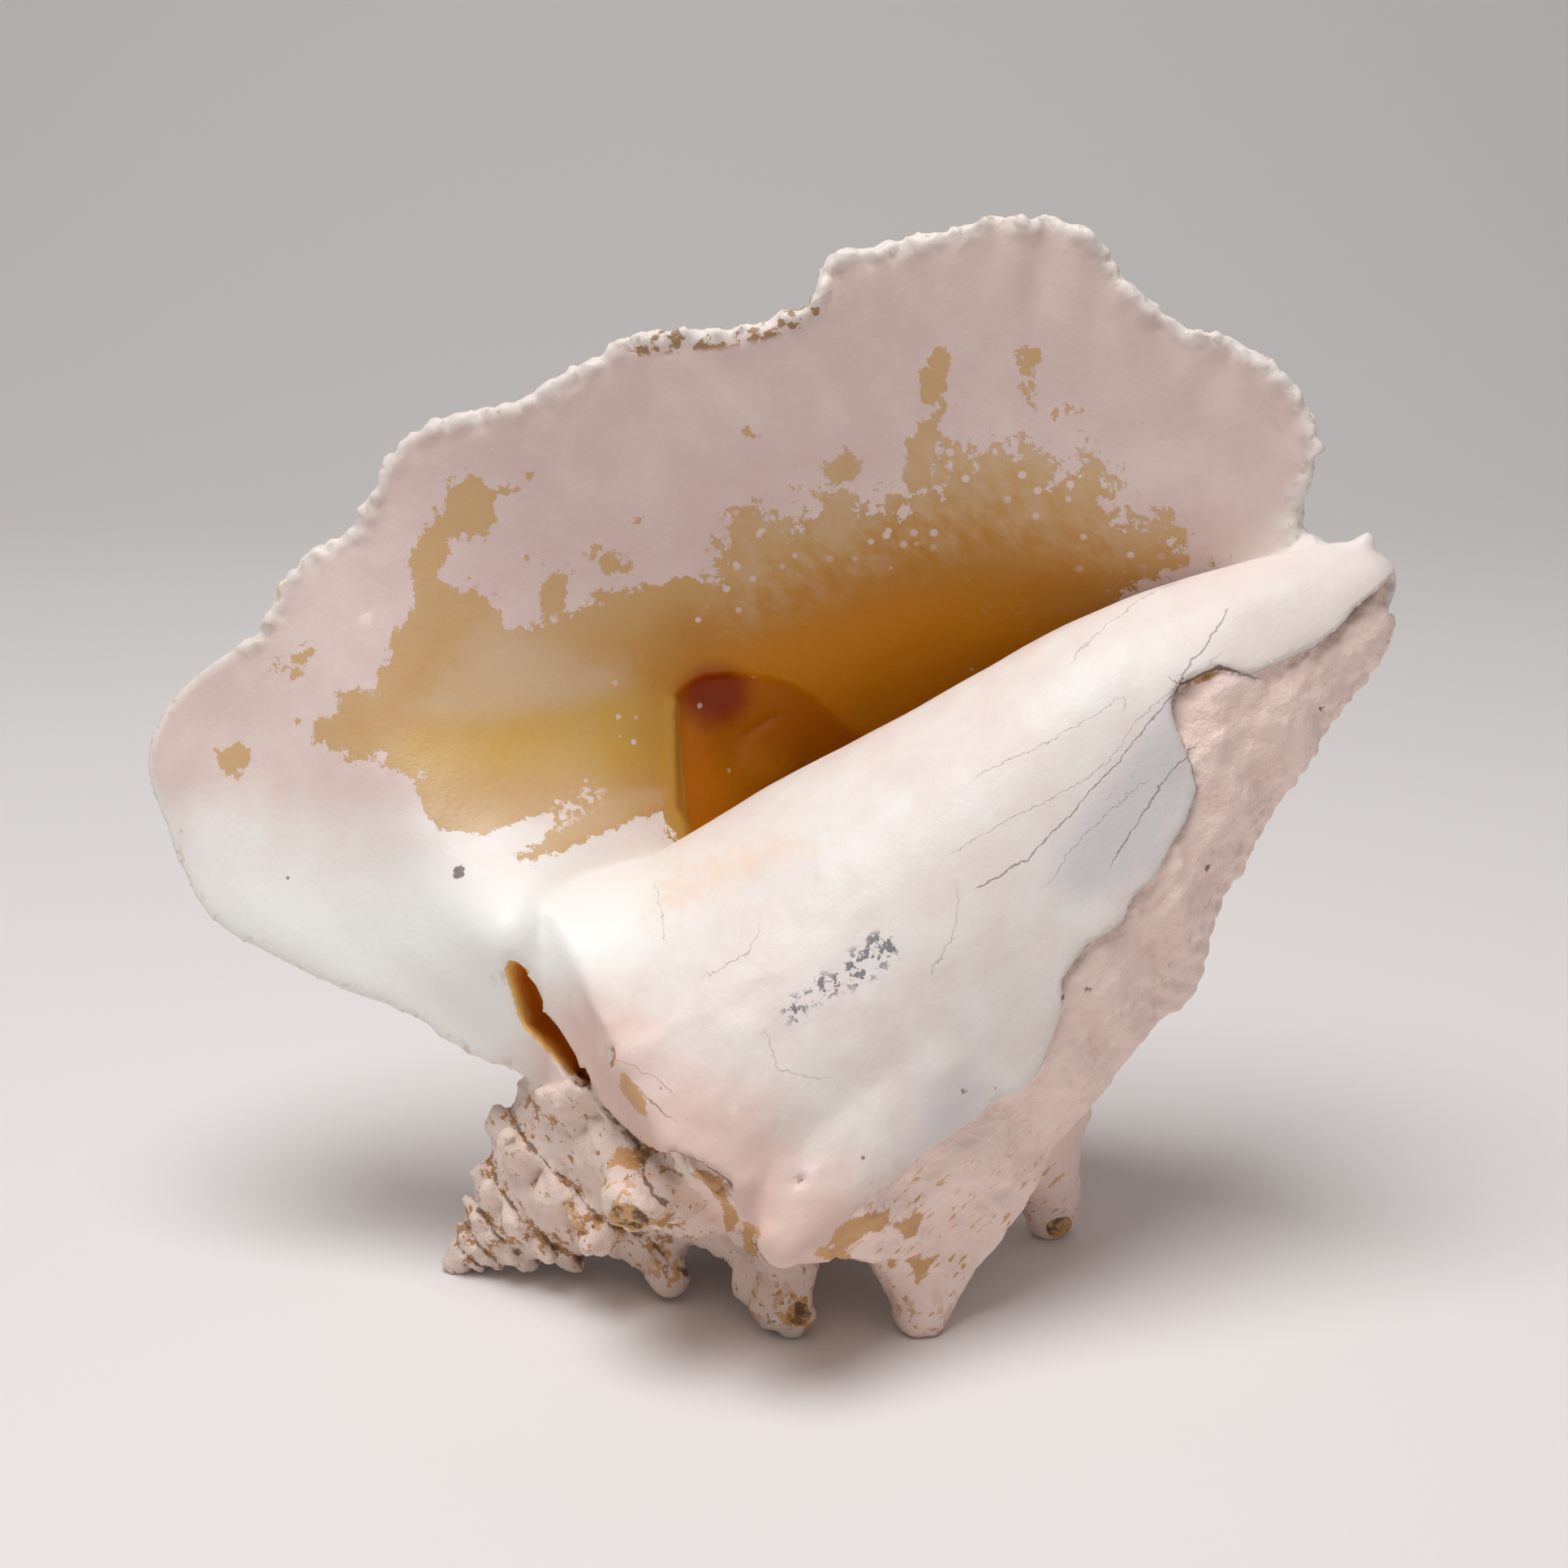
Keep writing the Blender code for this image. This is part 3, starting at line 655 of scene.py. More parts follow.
# The callus ends in a step, sharper where the edge is worn: heights along the axis and half lengths
STEP = 2.2
WORN = ((85, 4, 1), (99, 6, 1), (148, 8, 1), (44, 6, 1), (62, 9, 0.5), (8, 12, 1))
near_step = ease(10, 0, edge_away) * front * (belongs != INSIDE) * (lipward < 25)
height += STEP * near_step * (ease(-0.4, 0.4, glaze) - 0.5)
worn_edge = sum(share * hill(apexward - at, long) for at, long, share in WORN)
worn_edge = np.clip(worn_edge, 0, 1) * near_step
height -= 0.9 * worn_edge * hill(glaze + 0.3, 0.6)
height += outer * front * ease(34, 10, edge_away) * (0.7 * bumps + 0.5 * lumps)

# The callus stands up as a ledge along its foot, over the spire
FOOT = [
    (18, 186), (16.7, 187.3), (14.5, 189.3), (10, 191), (4, 190.5), (-1, 187), (-3.5, 180), (-9, 176.5),
    (-15, 174),
]
foot_away = np.where(ventral > -5, near(FOOT)[0], 99)
ledge = 1.4 * ease(-0.4, 0.5, glaze) * ease(7, 0, foot_away)
height += ledge - 2.8 * ease(0.4, -0.6, glaze) * ease(10, 0, foot_away)

# Cords and growth lines of the outer layer
cords = np.array([noise.noise(Vector((a / 13, g / 60, 3))) for a, g in zip(apex_way, growth)])
height += 2.0 * cords * outer * ease(0, -6, shoulder_way) * ease(12, 40, rim) * (belongs != INSIDE)
growth_lines = np.sin(2 * np.pi * run / 9.0 + 0.5 * bumps)
height += 0.25 * growth_lines * (belongs == OUTSIDE) * outer * ease(2, 10, rim)

# Knobs and torn sutures of the spire
on_spire = (shoulder_way > 0) * ((belongs == CORE) | (belongs == HORN)) * outer
knobs = np.abs(np.cos(np.radians(5 * growth) + 0.5 * bumps)) * 2 - 1
knobs = knobs * hill(up_whorl - 0.35, 0.25)
height += on_spire * (0.2 * pitch * knobs + 0.4 * grain + 0.5 * lumps)
torn_suture = suture + 0.7 * lumps + 0.4 * grain
height -= 0.7 * hill(torn_suture, 0.55) * on_spire * ease(3, 9, foot_away)

# The arch and its hollow
recess = 1.8 * ease(-0.5, 2.5, arch) * ease(34, 4, arch) + 1.2 * hill(pit_away, 6.0) * ease(-1, 2, arch)
height -= deep_inside * recess
height += deep_inside * 0.9 * hill(ridge_away, 1.8)

# Swellings, bored holes and broken tips: x, y, z, width and height
SWELLINGS = [
    (57, -17, 176, 3, 0.8), (57, -18, 172, 2.5, 0.6), (57, -23, 170, 2.8, 0.7), (57, -27, 164, 2.5, 0.6),
    (57, -23, 177, 2.6, 0.7), (57, -20, 166, 2.4, 0.6), (57, -24, 161, 2.2, 0.5),
    (52.5, 18.4, 181.5, 2.5, -4.0), (55, 10, 177, 4, 0.6), (57.4, -23.3, 164.3, 1.0, -1.7),
    (26, -10.2, 215.4, 1.3, -2.2), (51, -11, 197.5, 2.4, -1.0), (27, -49, 187.3, 1.6, -1.2),
    (-24, -76.6, 140.6, 2.0, -0.8),
]
for *at, wide, high in SWELLINGS:
    height += high * hill(np.linalg.norm(place - at, axis=1), wide)

moved = place + facing * height[:, None]
skinned.vertices.foreach_set("co", (moved * MM).ravel())
shell = bpy.data.objects.new("conch", skinned)
bpy.context.scene.collection.objects.link(shell)

# ---------------------------------------------------------------------------
# Stains and marks
# An amber film has run over the lip's inside and set there, ragged at its edges and browner towards the
# throat. The bleached callus carries cracks, a grey speckled patch and faint tints, and its edge is stained.
# ---------------------------------------------------------------------------
UNSEEN = -40.0


def note(name, values, low=-40.0, high=40.0):
    """Keep a value with every point of the skin."""
    kept = skinned.attributes.new(name, "FLOAT", "POINT")
    kept.data.foreach_set("value", np.clip(values, low, high).astype(np.float32))


def note_within(name, here, *outlines):
    """Keep how far inside any of the outlines each point lies, on this part of the shell only."""
    best = np.max([within(outline) for outline in outlines], axis=0)
    note(name, np.where(here, best, UNSEEN))


# The film covers this much of the lip, with splashes and islands round it
STAIN = [
    (134, 139), (133, 143), (131, 147), (129, 148), (129, 152), (128, 156), (127, 158), (125, 162),
    (122, 162), (119, 165), (115, 169), (116, 172), (113, 175), (111, 178), (112, 180), (108, 182),
    (108, 185), (112, 186), (112, 190), (109, 192), (112, 198), (113, 202), (108, 200), (105, 199),
    (101, 196), (98, 194), (96, 190), (97, 189), (93, 189), (91, 190), (86, 185), (83, 181), (82, 183),
    (80, 186), (77, 188), (76, 186), (75, 183), (73, 179), (70, 178), (71, 174), (69, 170), (68, 166),
    (66, 162), (65, 158), (59, 152), (58, 148), (59, 146), (50, 152), (49, 149), (46, 140), (42, 126),
    (40, 110), (35, 79), (30, 52), (25, 32), (20, 21), (22, 21), (23, 26), (26, 31), (32, 27), (37, 28),
    (36, 33), (41, 36), (45, 36), (49, 32), (55, 33), (56, 37), (56, 41), (61, 41), (65, 43), (68, 47),
    (70, 52), (74, 54), (77, 57), (72, 62), (70, 66), (71, 68), (74, 68), (74, 69), (74, 74), (77, 80),
    (82, 78), (86, 81), (82, 86), (86, 96), (91, 97), (95, 96), (92, 100), (88, 107), (85, 112), (84, 118),
    (85, 122), (91, 127), (96, 132), (96, 138), (99, 145), (100, 152), (104, 154), (107, 152), (111, 152),
    (114, 155), (116, 160), (120, 159), (122, 158), (122, 156), (123, 153), (125, 150), (123, 148),
    (121, 146), (120, 144), (123, 140), (126, 140), (128, 138),
]
SPLASHES = [
    [(88, 187), (76, 189), (69, 181), (67, 174), (64, 167), (60, 160), (51, 152), (58, 146), (76, 168)],
    [(62, 179), (60, 175), (62, 170), (62, 166), (62, 163), (60, 157), (61, 155), (58, 151), (54, 150),
     (50, 152), (53, 158), (55, 164), (56, 170), (58, 174), (59, 178)],
    [(89, 134), (88, 131), (92, 129), (93, 126), (90, 123), (88, 117), (84, 114), (80, 111), (77, 112),
     (80, 119), (84, 125), (84, 130)],
    [(134, 139), (132, 139), (131, 138), (128, 138), (125, 134), (126, 131), (124, 127), (123, 130),
     (124, 132), (123, 135), (124, 136), (126, 137), (126, 139), (123, 140), (121, 141), (120, 145),
     (123, 147), (125, 151), (123, 152), (122, 155), (122, 157), (120, 160), (117, 157), (115, 158),
     (115, 160), (113, 162), (112, 164), (113, 168), (110, 169), (108, 172), (106, 171), (100, 172),
     (98, 176), (100, 182), (103, 185), (102, 192), (106, 194), (109, 193), (111, 190), (112, 185),
     (109, 186), (106, 184), (108, 182), (112, 180), (110, 177), (115, 173), (116, 168), (117, 165),
     (125, 162), (126, 158), (129, 158), (129, 153), (129, 148), (132, 145)],
    [(106, 121), (104, 117), (102, 116), (101, 117), (103, 120), (105, 121)],
    [(106, 129), (105, 126), (103, 128), (100, 125), (98, 124), (96, 126), (97, 128), (99, 130),
     (103, 130)],
    [(114, 143), (113, 141), (112, 138), (110, 138), (111, 140), (108, 140), (110, 141), (112, 142)],
    [(103, 145), (105, 142), (106, 138), (106, 131), (105, 132), (104, 136), (103, 138), (99, 141),
     (98, 144), (100, 146)],
    [(94, 140), (96, 137), (98, 133), (95, 133), (92, 136)],
    [(112, 162), (113, 159), (113, 156), (113, 153), (110, 152), (108, 152), (105, 154), (105, 156),
     (107, 159), (109, 162)],
    [(96, 94), (93, 96), (91, 96), (87, 97), (85, 100), (82, 100), (77, 97), (75, 100), (76, 105),
     (73, 110), (75, 113), (80, 111), (83, 110), (83, 107), (85, 105), (88, 106), (91, 102), (93, 99)],
    [(87, 81), (87, 78), (88, 73), (85, 73), (83, 72), (82, 74), (82, 78), (84, 80)],
    [(93, 46), (90, 43), (88, 46), (86, 47), (84, 50), (82, 51), (80, 54), (76, 58), (74, 60), (72, 63),
     (70, 65), (71, 68), (74, 68), (77, 65), (81, 62), (82, 58), (84, 53), (87, 52), (88, 54), (90, 51),
     (91, 49)],
    [(82, 33), (79, 28), (77, 30), (76, 33), (75, 34), (72, 34), (74, 36), (76, 36), (77, 34), (80, 34)],
    [(70, 36), (69, 35), (67, 33), (66, 29), (64, 29), (64, 31), (65, 34), (67, 36), (67, 38)],
    [(55, 21), (56, 18), (56, 19), (53, 21)],
    [(104, 89), (106, 86), (103, 86), (101, 84), (101, 86), (102, 87), (101, 88), (103, 88)],
    [(124, 220), (124, 218), (122, 218), (120, 218), (118, 216), (117, 214), (116, 212), (114, 213),
     (112, 217), (112, 220), (115, 221), (118, 220), (119, 219), (121, 220)],
    [(126, 194), (126, 190), (124, 188), (122, 189), (123, 191), (121, 193), (120, 195), (122, 197),
     (123, 194), (125, 194)],
    [(128, 201), (127, 198), (127, 195), (125, 196), (124, 198), (126, 200)],
    [(112, 237), (111, 235), (110, 236), (110, 237)],
]
# Round bare spots in the film: y, z, radius
HOLES = [
    (124.9, 156.2, 1.1), (128, 154.6, 0.8), (130.2, 142.9, 0.7), (128.8, 142.2, 0.5), (127.4, 142.5, 0.6),
    (128.5, 140.7, 0.6), (128.6, 144.2, 0.5), (129.9, 141.3, 0.5), (84, 175.5, 0.7), (77.8, 176.3, 1),
    (79.2, 182.2, 0.6), (114.2, 217.6, 0.7), (112.9, 164.5, 0.6), (106.8, 166.7, 0.7), (101, 162.7, 0.6),
    (111.1, 157.5, 0.7),
]
# Where the film is thin, where it is yellow or brown, where it has flaked in a band and where in dots
THIN = [
    (100, 181), (100, 173), (105, 165), (102, 155), (93, 149), (82, 141), (76, 142), (79, 156), (88, 170),
    (93, 178),
]
YELLOW = [
    (92, 189), (96, 188), (96, 180), (88, 170), (80, 155), (75, 141), (70, 138), (59, 146), (66, 158),
    (76, 173), (83, 184),
]
BROWN = [
    (71, 135), (76, 124), (70, 111), (68, 97), (66, 82), (57, 63), (38, 47), (28, 41), (35, 79), (40, 110),
    (42, 126), (46, 140), (49, 148), (59, 144),
]
PALE_STRIP = [
    (60, 179), (58, 173), (56, 166), (54, 160), (51, 152), (56, 149), (60, 158), (62, 165), (63, 169),
    (62, 175),
]
FLECKS = [
    (64, 172), (66, 167), (66, 162), (64, 158), (60, 158), (60, 165), (60, 171),
]
DOTS = [
    (78, 154), (75, 146), (69, 140), (61, 145), (64, 151), (69, 155),
]
BROKEN = [
    (86, 114), (92, 96), (93, 80), (83, 64), (77, 48), (66, 34), (54, 26), (40, 24), (30, 28), (34, 44),
    (46, 52), (55, 62), (62, 76), (66, 90), (70, 104), (74, 116),
]

# The lip's side of the mouth, and the crest of the columella beside it
lip_side = (spread(1.0 * ((belongs == INSIDE) | cavity | in_mouth), 5) > 0.5) & ~horn_outside
crest = (belongs == CORE) & ~cavity & (facing[:, 0] < 0.55) & (facing[:, 1] > 0.3) & (apexward < 180)
note_within("splash", lip_side, *SPLASHES)
note_within("thin", lip_side, THIN)
note_within("yellow", lip_side, YELLOW)
note_within("brown", lip_side | crest, BROWN)
note_within("strip", lip_side | crest, PALE_STRIP)
note_within("flecks", lip_side, FLECKS)
note_within("dots", lip_side, DOTS)
note_within("broken", lip_side, BROKEN)
bare_spot = np.max([size - reach(y, z) for y, z, size in HOLES], axis=0)
note("holes", np.where(lip_side, bare_spot, UNSEEN), high=2.0)

# The film fills the mouth and the cavity below these depths, and runs a little over the crest
CAVITY_FILLED = 28
MOUTH_FILLED = 16
film_inside = within(STAIN)
stain = np.where(lip_side, film_inside, UNSEEN)
stain = np.where(cavity & (ventral < -CAVITY_FILLED), np.maximum(stain, -CAVITY_FILLED - ventral), stain)
stain = np.where(crest, np.maximum(stain, film_inside - 1.0), stain)
stain = np.where(in_mouth, np.maximum(stain, -MOUTH_FILLED - ventral), stain)
note("stain", stain)
note("deep", np.where(in_mouth, -ventral, 0), 0, 60)
in_deep = deep_inside > 0.1
note("arch", np.where(in_deep, arch, UNSEEN))
note("pit", np.where(in_deep, pit_away, 60), 0, 60)
note("ridge", np.where(in_deep, ridge_away, 60), 0, 60)

# Where the glaze, the rim, the spire and the edges of the callus are
note("glaze", glaze, -20, 20)
note("rim", rim, 0, 60)
spire_way = np.where((belongs == CORE) & ~cavity, shoulder_way, -20)
spire_way = np.where((belongs == HORN) & (apex_way < 78) & (glaze < 0), 5, spire_way)
note("spire", spread(spire_way, 3), -20, 20)
note("suture", np.where(outer > 0.1, suture, 20), 0, 20)
note("edge", np.where(belongs != INSIDE, np.clip(edge_side, -20, 20), 20), -20, 20)
on_front = (belongs != INSIDE) & (front > 0.05) & (lipward < 25)
note("edge_away", np.where(on_front, edge_away, 20), 0, 20)
note("worn_edge", worn_edge, 0, 1)
# Where the lip's inside is painted darker and pinker as painted shade, and where its lobe is painted whiter
# as painted light
down_lip = 0.61 * apexward - 0.79 * lipward
note("lip", spread(lip_side * 1.0, 6) * ease(12, 30, lipward) * ease(60, 40, down_lip), 0, 1)
note("lobe", ease(52, 76, down_lip) * ease(20, 36, lipward), 0, 1)
# The callus foot and the lower edge of the front spines, painted pinker near them as painted shade and pink
# bounce light
ALONG_THE_SPINES = [
    (-21, 177), (-28, 186), (-33, 170), (-39.6, 167), (-51, 172), (-59, 175.7), (-62.4, 174.6),
]
skirt_away = np.where((glaze > -0.5) & (ventral > -5), near(FOOT + ALONG_THE_SPINES)[0], 99)
note("skirt", skirt_away, 0, 99)
note("foot", foot_away, 0, 99)

# Cracks of the callus and finer hairlines
CRACKS = [
    [(7, 48), (5, 56), (2, 69), (0, 80), (-1.6, 92), (-0.6, 103)],
    [(7, 48), (9, 45), (9.5, 40), (12, 33)],
    [(-5, 54), (-6, 61), (-8.5, 68), (-10.5, 74), (-12.6, 79.5)],
    [(4.5, 39.3), (1, 37), (-1.6, 34.8)],
    [(8, 178.5), (5, 178), (2, 177)],
]
HAIRLINES = [
    [(22, 27), (23, 34), (25, 45), (25, 52), (24, 62)],
    [(18.4, 155.4), (17.3, 147.2), (19.1, 144.5)],
    [(37, 158), (30, 160)],
    [(7, 48), (6.7, 58), (3, 71), (4.7, 82), (7, 94), (8, 103)],
    [(-4, 66), (-5, 82), (-8, 92)],
    [(16.6, 179.4), (13.3, 177), (9.6, 175), (5.7, 173.8)],
    [(12, 60), (14, 76), (17, 90)],
    [(2, 108), (-4, 112), (-7, 120)],
    [(-10, 150), (-4, 155), (2, 153)],
]


def note_lines(name, family):
    """Keep the signed side and the plain distance of the nearest line of a family."""
    best = np.full(count, 99.0)
    best_side = np.full(count, 99.0)
    for line in family:
        away, side = near(line)
        best_side = np.where(away < best, side, best_side)
        best = np.minimum(best, away)
    on_callus = front * (belongs != INSIDE) > 0.2
    note(name + "_side", np.where(on_callus, best_side, 20), -20, 20)
    note(name + "_away", np.where(on_callus, best, 20), 0, 20)


note_lines("crack", CRACKS)
note_lines("hairline", HAIRLINES)

# Places of the callus: one with grey speckles, two bluish, one peach, and small amber marks
SPECKLED = [
    (5, 135), (5, 131), (5, 126), (3, 122), (-1, 125), (-1, 129), (0, 136), (1, 140), (2, 148), (5, 148),
    (4, 140),
]
BLUISH = [
    (6, 52), (3, 63), (0, 73), (-3, 85), (-8, 93), (-15, 90), (-20, 81), (-18, 70), (-15, 62), (-7, 56),
]
BLUISH_LOW = [
    (-24, 135), (-28, 128), (-34, 126), (-36, 129), (-34, 141), (-30, 144),
]
PEACH = [
    (39, 157), (34, 162), (30, 150), (28, 135), (25, 125), (31, 128), (36, 142),
]
AMBER_MARKS = [
    [(6.8, 47.5), (5.8, 44.1), (4.8, 40.7), (4.2, 39.3), (3.6, 42.4), (5.1, 45.4), (5.8, 47.3)],
    [(-33.6, 169.5), (-39.6, 167.2), (-50.9, 171), (-59, 174.5), (-62.4, 174.6), (-63.7, 178), (-52.2, 177),
     (-41.1, 171), (-35.2, 171)],
    [(1.6, 194.4), (-0.8, 191.7), (-3.6, 191), (-2.4, 196)],
    [(-23, 178), (-28, 186), (-31, 184), (-27, 176)],
    [(-9, 178.5), (-15, 176), (-21, 179.5), (-28, 187.5), (-26, 189), (-19, 184), (-14, 181), (-10, 182)],
    [(13.8, 180.6), (13.7, 179), (10.3, 178.8), (6.4, 179), (4, 180.3), (5.2, 182.1), (7.9, 184.1),
     (11, 184)],
    [(-34, 166.5), (-35, 163), (-37.4, 158.5), (-40, 156), (-41.6, 158), (-40.3, 162), (-42, 165.5),
     (-42, 168.4)],
    [(-51, 166.3), (-51.4, 163.6), (-53.3, 164.7), (-53.1, 167.2)],
    [(-53.3, 162.9), (-53.3, 160.4), (-55.8, 160.2), (-56.7, 157.2), (-58.2, 160), (-58.6, 164),
     (-55.8, 163)],
    [(-43, 158.2), (-44.8, 154.6), (-48.6, 152.6), (-49.7, 155.5), (-49, 159)],
    [(-28, 184), (-33, 187), (-36, 189), (-33, 191), (-29, 187)],
]
# The knee of the front spine, where old amber has run down in streaks
KNEE = [(-30, 165), (-36, 150), (-52, 130), (-80, 130), (-70, 175), (-45, 178)]
callus_side = (belongs != INSIDE) & ~cavity & (front > 0.5)
note_within("speckled", callus_side, SPECKLED)
note_within("bluish", callus_side, BLUISH, BLUISH_LOW)
note_within("peach", callus_side, PEACH)
note_within("amber", callus_side, *AMBER_MARKS)
note_within("knee", belongs != INSIDE, KNEE)

# The tips of the spines are stained
tips = np.full(count, 99.0)
for row in SPINES:
    tip = polar(np.array(row[1]), np.array(row[4]), np.array(row[3]))
    tips = np.minimum(tips, np.linalg.norm(place - tip, axis=1))
note("tip", tips, 0, 60)

# The slit: how far inside its outline, and how deep below its mouth, which is given as y and x
SLIT_MOUTH = ((13, 23), (18, 25), (27, 26), (36, 28), (42, 31), (47, 32))
SLIT_STAINED = 0.6
slit_rows = np.array(SLIT)
deep_way = unit(np.array(SLIT_LEAN))


def flat_on(points):
    """The points pressed flat along the slit's depth."""
    return points - (points @ deep_way)[:, None] * deep_way


slit_flat, here_flat = flat_on(slit_rows[:, :3]), flat_on(place)
slit_over = np.full(count, UNSEEN)
for a, b, wide_a, wide_b in zip(slit_flat, slit_flat[1:], slit_rows[:, 3], slit_rows[1:, 3]):
    share = np.clip(((here_flat - a) @ (b - a)) / ((b - a) @ (b - a)), 0, 1)
    off = np.linalg.norm(here_flat - a - share[:, None] * (b - a), axis=1)
    slit_over = np.maximum(slit_over, wide_a + (wide_b - wide_a) * share + SLIT_STAINED - off)
slit_depth = np.interp(lipward, *zip(*SLIT_MOUTH)) - ventral
note("slit", np.where((ventral > 0) & (slit_depth > 0.5), slit_over, UNSEEN), high=20.0)
note("slit_depth", slit_depth, -20, 40)

# Dark specks and glassy rings: y, z, radius
SPOTS = [
    (77, 207, 1.7), (66, 189.5, 1.5), (64.7, 204, 0.9), (66.4, 197, 0.8), (111, 236.4, 0.9),
    (91, 219.5, 0.7), (-16.8, 94, 0.7), (-10.4, 96.4, 0.7), (-14, 94, 0.8), (-30.7, 99.6, 0.8),
    (-28.3, 104.3, 0.7), (-31.4, 114, 0.8), (-8.7, 113.5, 0.6), (-33.3, 125.8, 0.9), (-26.6, 141.3, 0.8),
    (-30, 130.4, 0.9), (23.3, 107.8, 0.8), (1.3, 185.8, 0.6), (-0.4, 176.6, 0.8), (-0.2, 174.5, 0.7),
    (-4.6, 168, 0.6), (6.6, 174, 0.5), (-26.9, 65.8, 0.8), (-15.3, 28, 0.7), (6.5, 175.5, 0.6),
    (-5.4, 170, 0.6), (1.4, 73.7, 0.5), (-26, 141.5, 0.6), (42, 46, 1.1), (35, 44, 1), (38.8, 77.6, 1),
]
GLASSY = [
    (76.3, 211.3, 1.5), (76.6, 225.6, 1.6), (43.2, 194.4, 1.8),
]
# Broken tips with a dark ring round them: x, y, z, radius
SCARS = [
    (51.5, -11, 197.5, 3.8), (26, -10.2, 215.4, 1), (27, -49, 187.3, 2.2), (-24, -76.6, 140.6, 3),
    (52.5, 18.4, 181.5, 2.4), (57.4, -23.3, 164.3, 0.4), (49.6, 16, 187, 1),
]
RIM_PITTED = [
    (129.4, 91.6), (127.4, 87), (125.3, 81.9), (121.9, 75.7), (118.2, 68.5), (115, 63.3),
]
seen = facing[:, 0] > 0
spot_mark = np.max([size - reach(y, z) for y, z, size in SPOTS], axis=0)
note("spots", np.where(seen, spot_mark, UNSEEN), high=2.0)
ring_mark = np.min([np.abs(reach(y, z) - size) for y, z, size in GLASSY], axis=0)
note("rings", np.where(seen, ring_mark, 20), 0, 20)
scar = np.full(count, 20.0)
for *at, wide in SCARS:
    ring = np.abs(np.linalg.norm(place - at, axis=1) - wide * 0.6) - wide * 0.4
    scar = np.minimum(scar, ring)
note("scar", scar, -5, 20)
note("rim_pitted", hill(near(RIM_PITTED)[0], 5) * (rim < 9), 0, 1)

# How hollow the skin is at each point: dirt and stain settle there, and the chalk is painted darker there as
# painted shade
evened = np.stack([spread(moved[:, axis], 14) for axis in range(3)], -1)
note("hollow", ((evened - moved) * facing).sum(1), -3, 3)

# The skin is coarsened where it is plain, then laid down on the ground: turns in degrees, centre in metres
TRIANGLES = 192000
LIES = (128.64, -12.0, -95.24)
GROUND_CENTRE = (0.12981, 0.00060, 0.15321)
coarser = shell.modifiers.new("coarser", "DECIMATE")
coarser.ratio = TRIANGLES / (2.0 * len(skinned.polygons))
finished = bpy.data.meshes.new_from_object(shell.evaluated_get(bpy.context.evaluated_depsgraph_get()))
shell.modifiers.clear()
shell.data = finished
turned = Euler([np.radians(turn) for turn in LIES]).to_matrix().to_4x4()
finished.transform(Matrix.Translation(GROUND_CENTRE) @ turned)
for vertex in finished.vertices:
    vertex.co.z = max(vertex.co.z, 0.0)
finished.shade_smooth()

# ---------------------------------------------------------------------------
# The shell's surface
# Bare shell all through, in one material painted from the marks: a smooth glaze on the mouth side, dull
# pinkish chalk on the outer layer, and the amber film and the dirt that have dried on them. Some of the
# colour
# is painted light: shade on the lip and in hollows, pink bounce on the chalk and under the spines, a whiter
# lobe.
# ---------------------------------------------------------------------------


class Node:
    """A socket of the shader that can be reckoned with like a number."""

    tree = None

    def __init__(self, socket):
        self.socket = socket

    @classmethod
    def make(cls, kind, settings=None, out=0, **inputs):
        """A node of one type, with its settings and what goes into it; gives one of its outputs."""
        node = cls.tree.nodes.new(kind)
        for key, value in (settings or {}).items():
            setattr(node, key, value)
        for key, value in inputs.items():
            numbered = key[0] == "i" and key[1:].isdigit()
            cls.put(node.inputs[int(key[1:])] if numbered else node.inputs[key.replace("_", " ")], value)
        return cls(node.outputs[out])

    @classmethod
    def put(cls, socket, value):
        """Lead a socket, a colour or a number into a socket."""
        if isinstance(value, cls):
            cls.tree.links.new(value.socket, socket)
        elif isinstance(value, tuple) and len(value) == 3 and socket.type == "RGBA":
            socket.default_value = (*value, 1)
        else:
            socket.default_value = value

    @classmethod
    def math(cls, operation, a, b=0.0):
        return cls.make("ShaderNodeMath", {"operation": operation}, i0=a, i1=b)

    def __add__(self, other):
        return Node.math("ADD", self, other)

    def __radd__(self, other):
        return Node.math("ADD", other, self)

    def __sub__(self, other):
        return Node.math("SUBTRACT", self, other)

    def __rsub__(self, other):
        return Node.math("SUBTRACT", other, self)

    def __mul__(self, other):
        return Node.math("MULTIPLY", self, other)

    def __rmul__(self, other):
        return Node.math("MULTIPLY", other, self)

    def __abs__(self):
        return Node.math("ABSOLUTE", self)

    def most(self, other):
        return Node.math("MAXIMUM", self, other)

    def between(self, low, high):
        """0 at low, 1 at high, smooth between; low may be the greater."""
        settings = {"interpolation_type": "SMOOTHSTEP"}
        a, b, at_a, at_b = (low, high, 0.0, 1.0) if low < high else (high, low, 1.0, 0.0)
        return Node.make("ShaderNodeMapRange", settings, i0=self, i1=a, i2=b, i3=at_a, i4=at_b)

    def mix(self, a, b):
        """Colour a where this is 0 and b where it is 1."""
        return Node.make("ShaderNodeMix", {"data_type": "RGBA"}, out=2, i0=self, i6=a, i7=b)


def srgb(*levels):
    """Colour from levels out of 255 as a painter reads them."""
    return tuple(((v / 255 + 0.055) / 1.055) ** 2.4 if v > 10 else v / 255 / 12.92 for v in levels)


def mark(name):
    """What the skin keeps under this name."""
    return Node.make("ShaderNodeAttribute", {"attribute_name": name}, out=2)


def coated(colour, *coats):
    """A colour with coats laid over it in turn: where each lies, how strongly, and its own colour."""
    for where, strength, paint in coats:
        share = where if strength == 1 else where * strength
        colour = share.mix(colour, paint)
    return colour


material = bpy.data.materials.new("worn_shell")
material.use_nodes = True
Node.tree = material.node_tree
surface = Node.tree.nodes["Principled BSDF"]
spot = Node.make("ShaderNodeTexCoord", out=3)


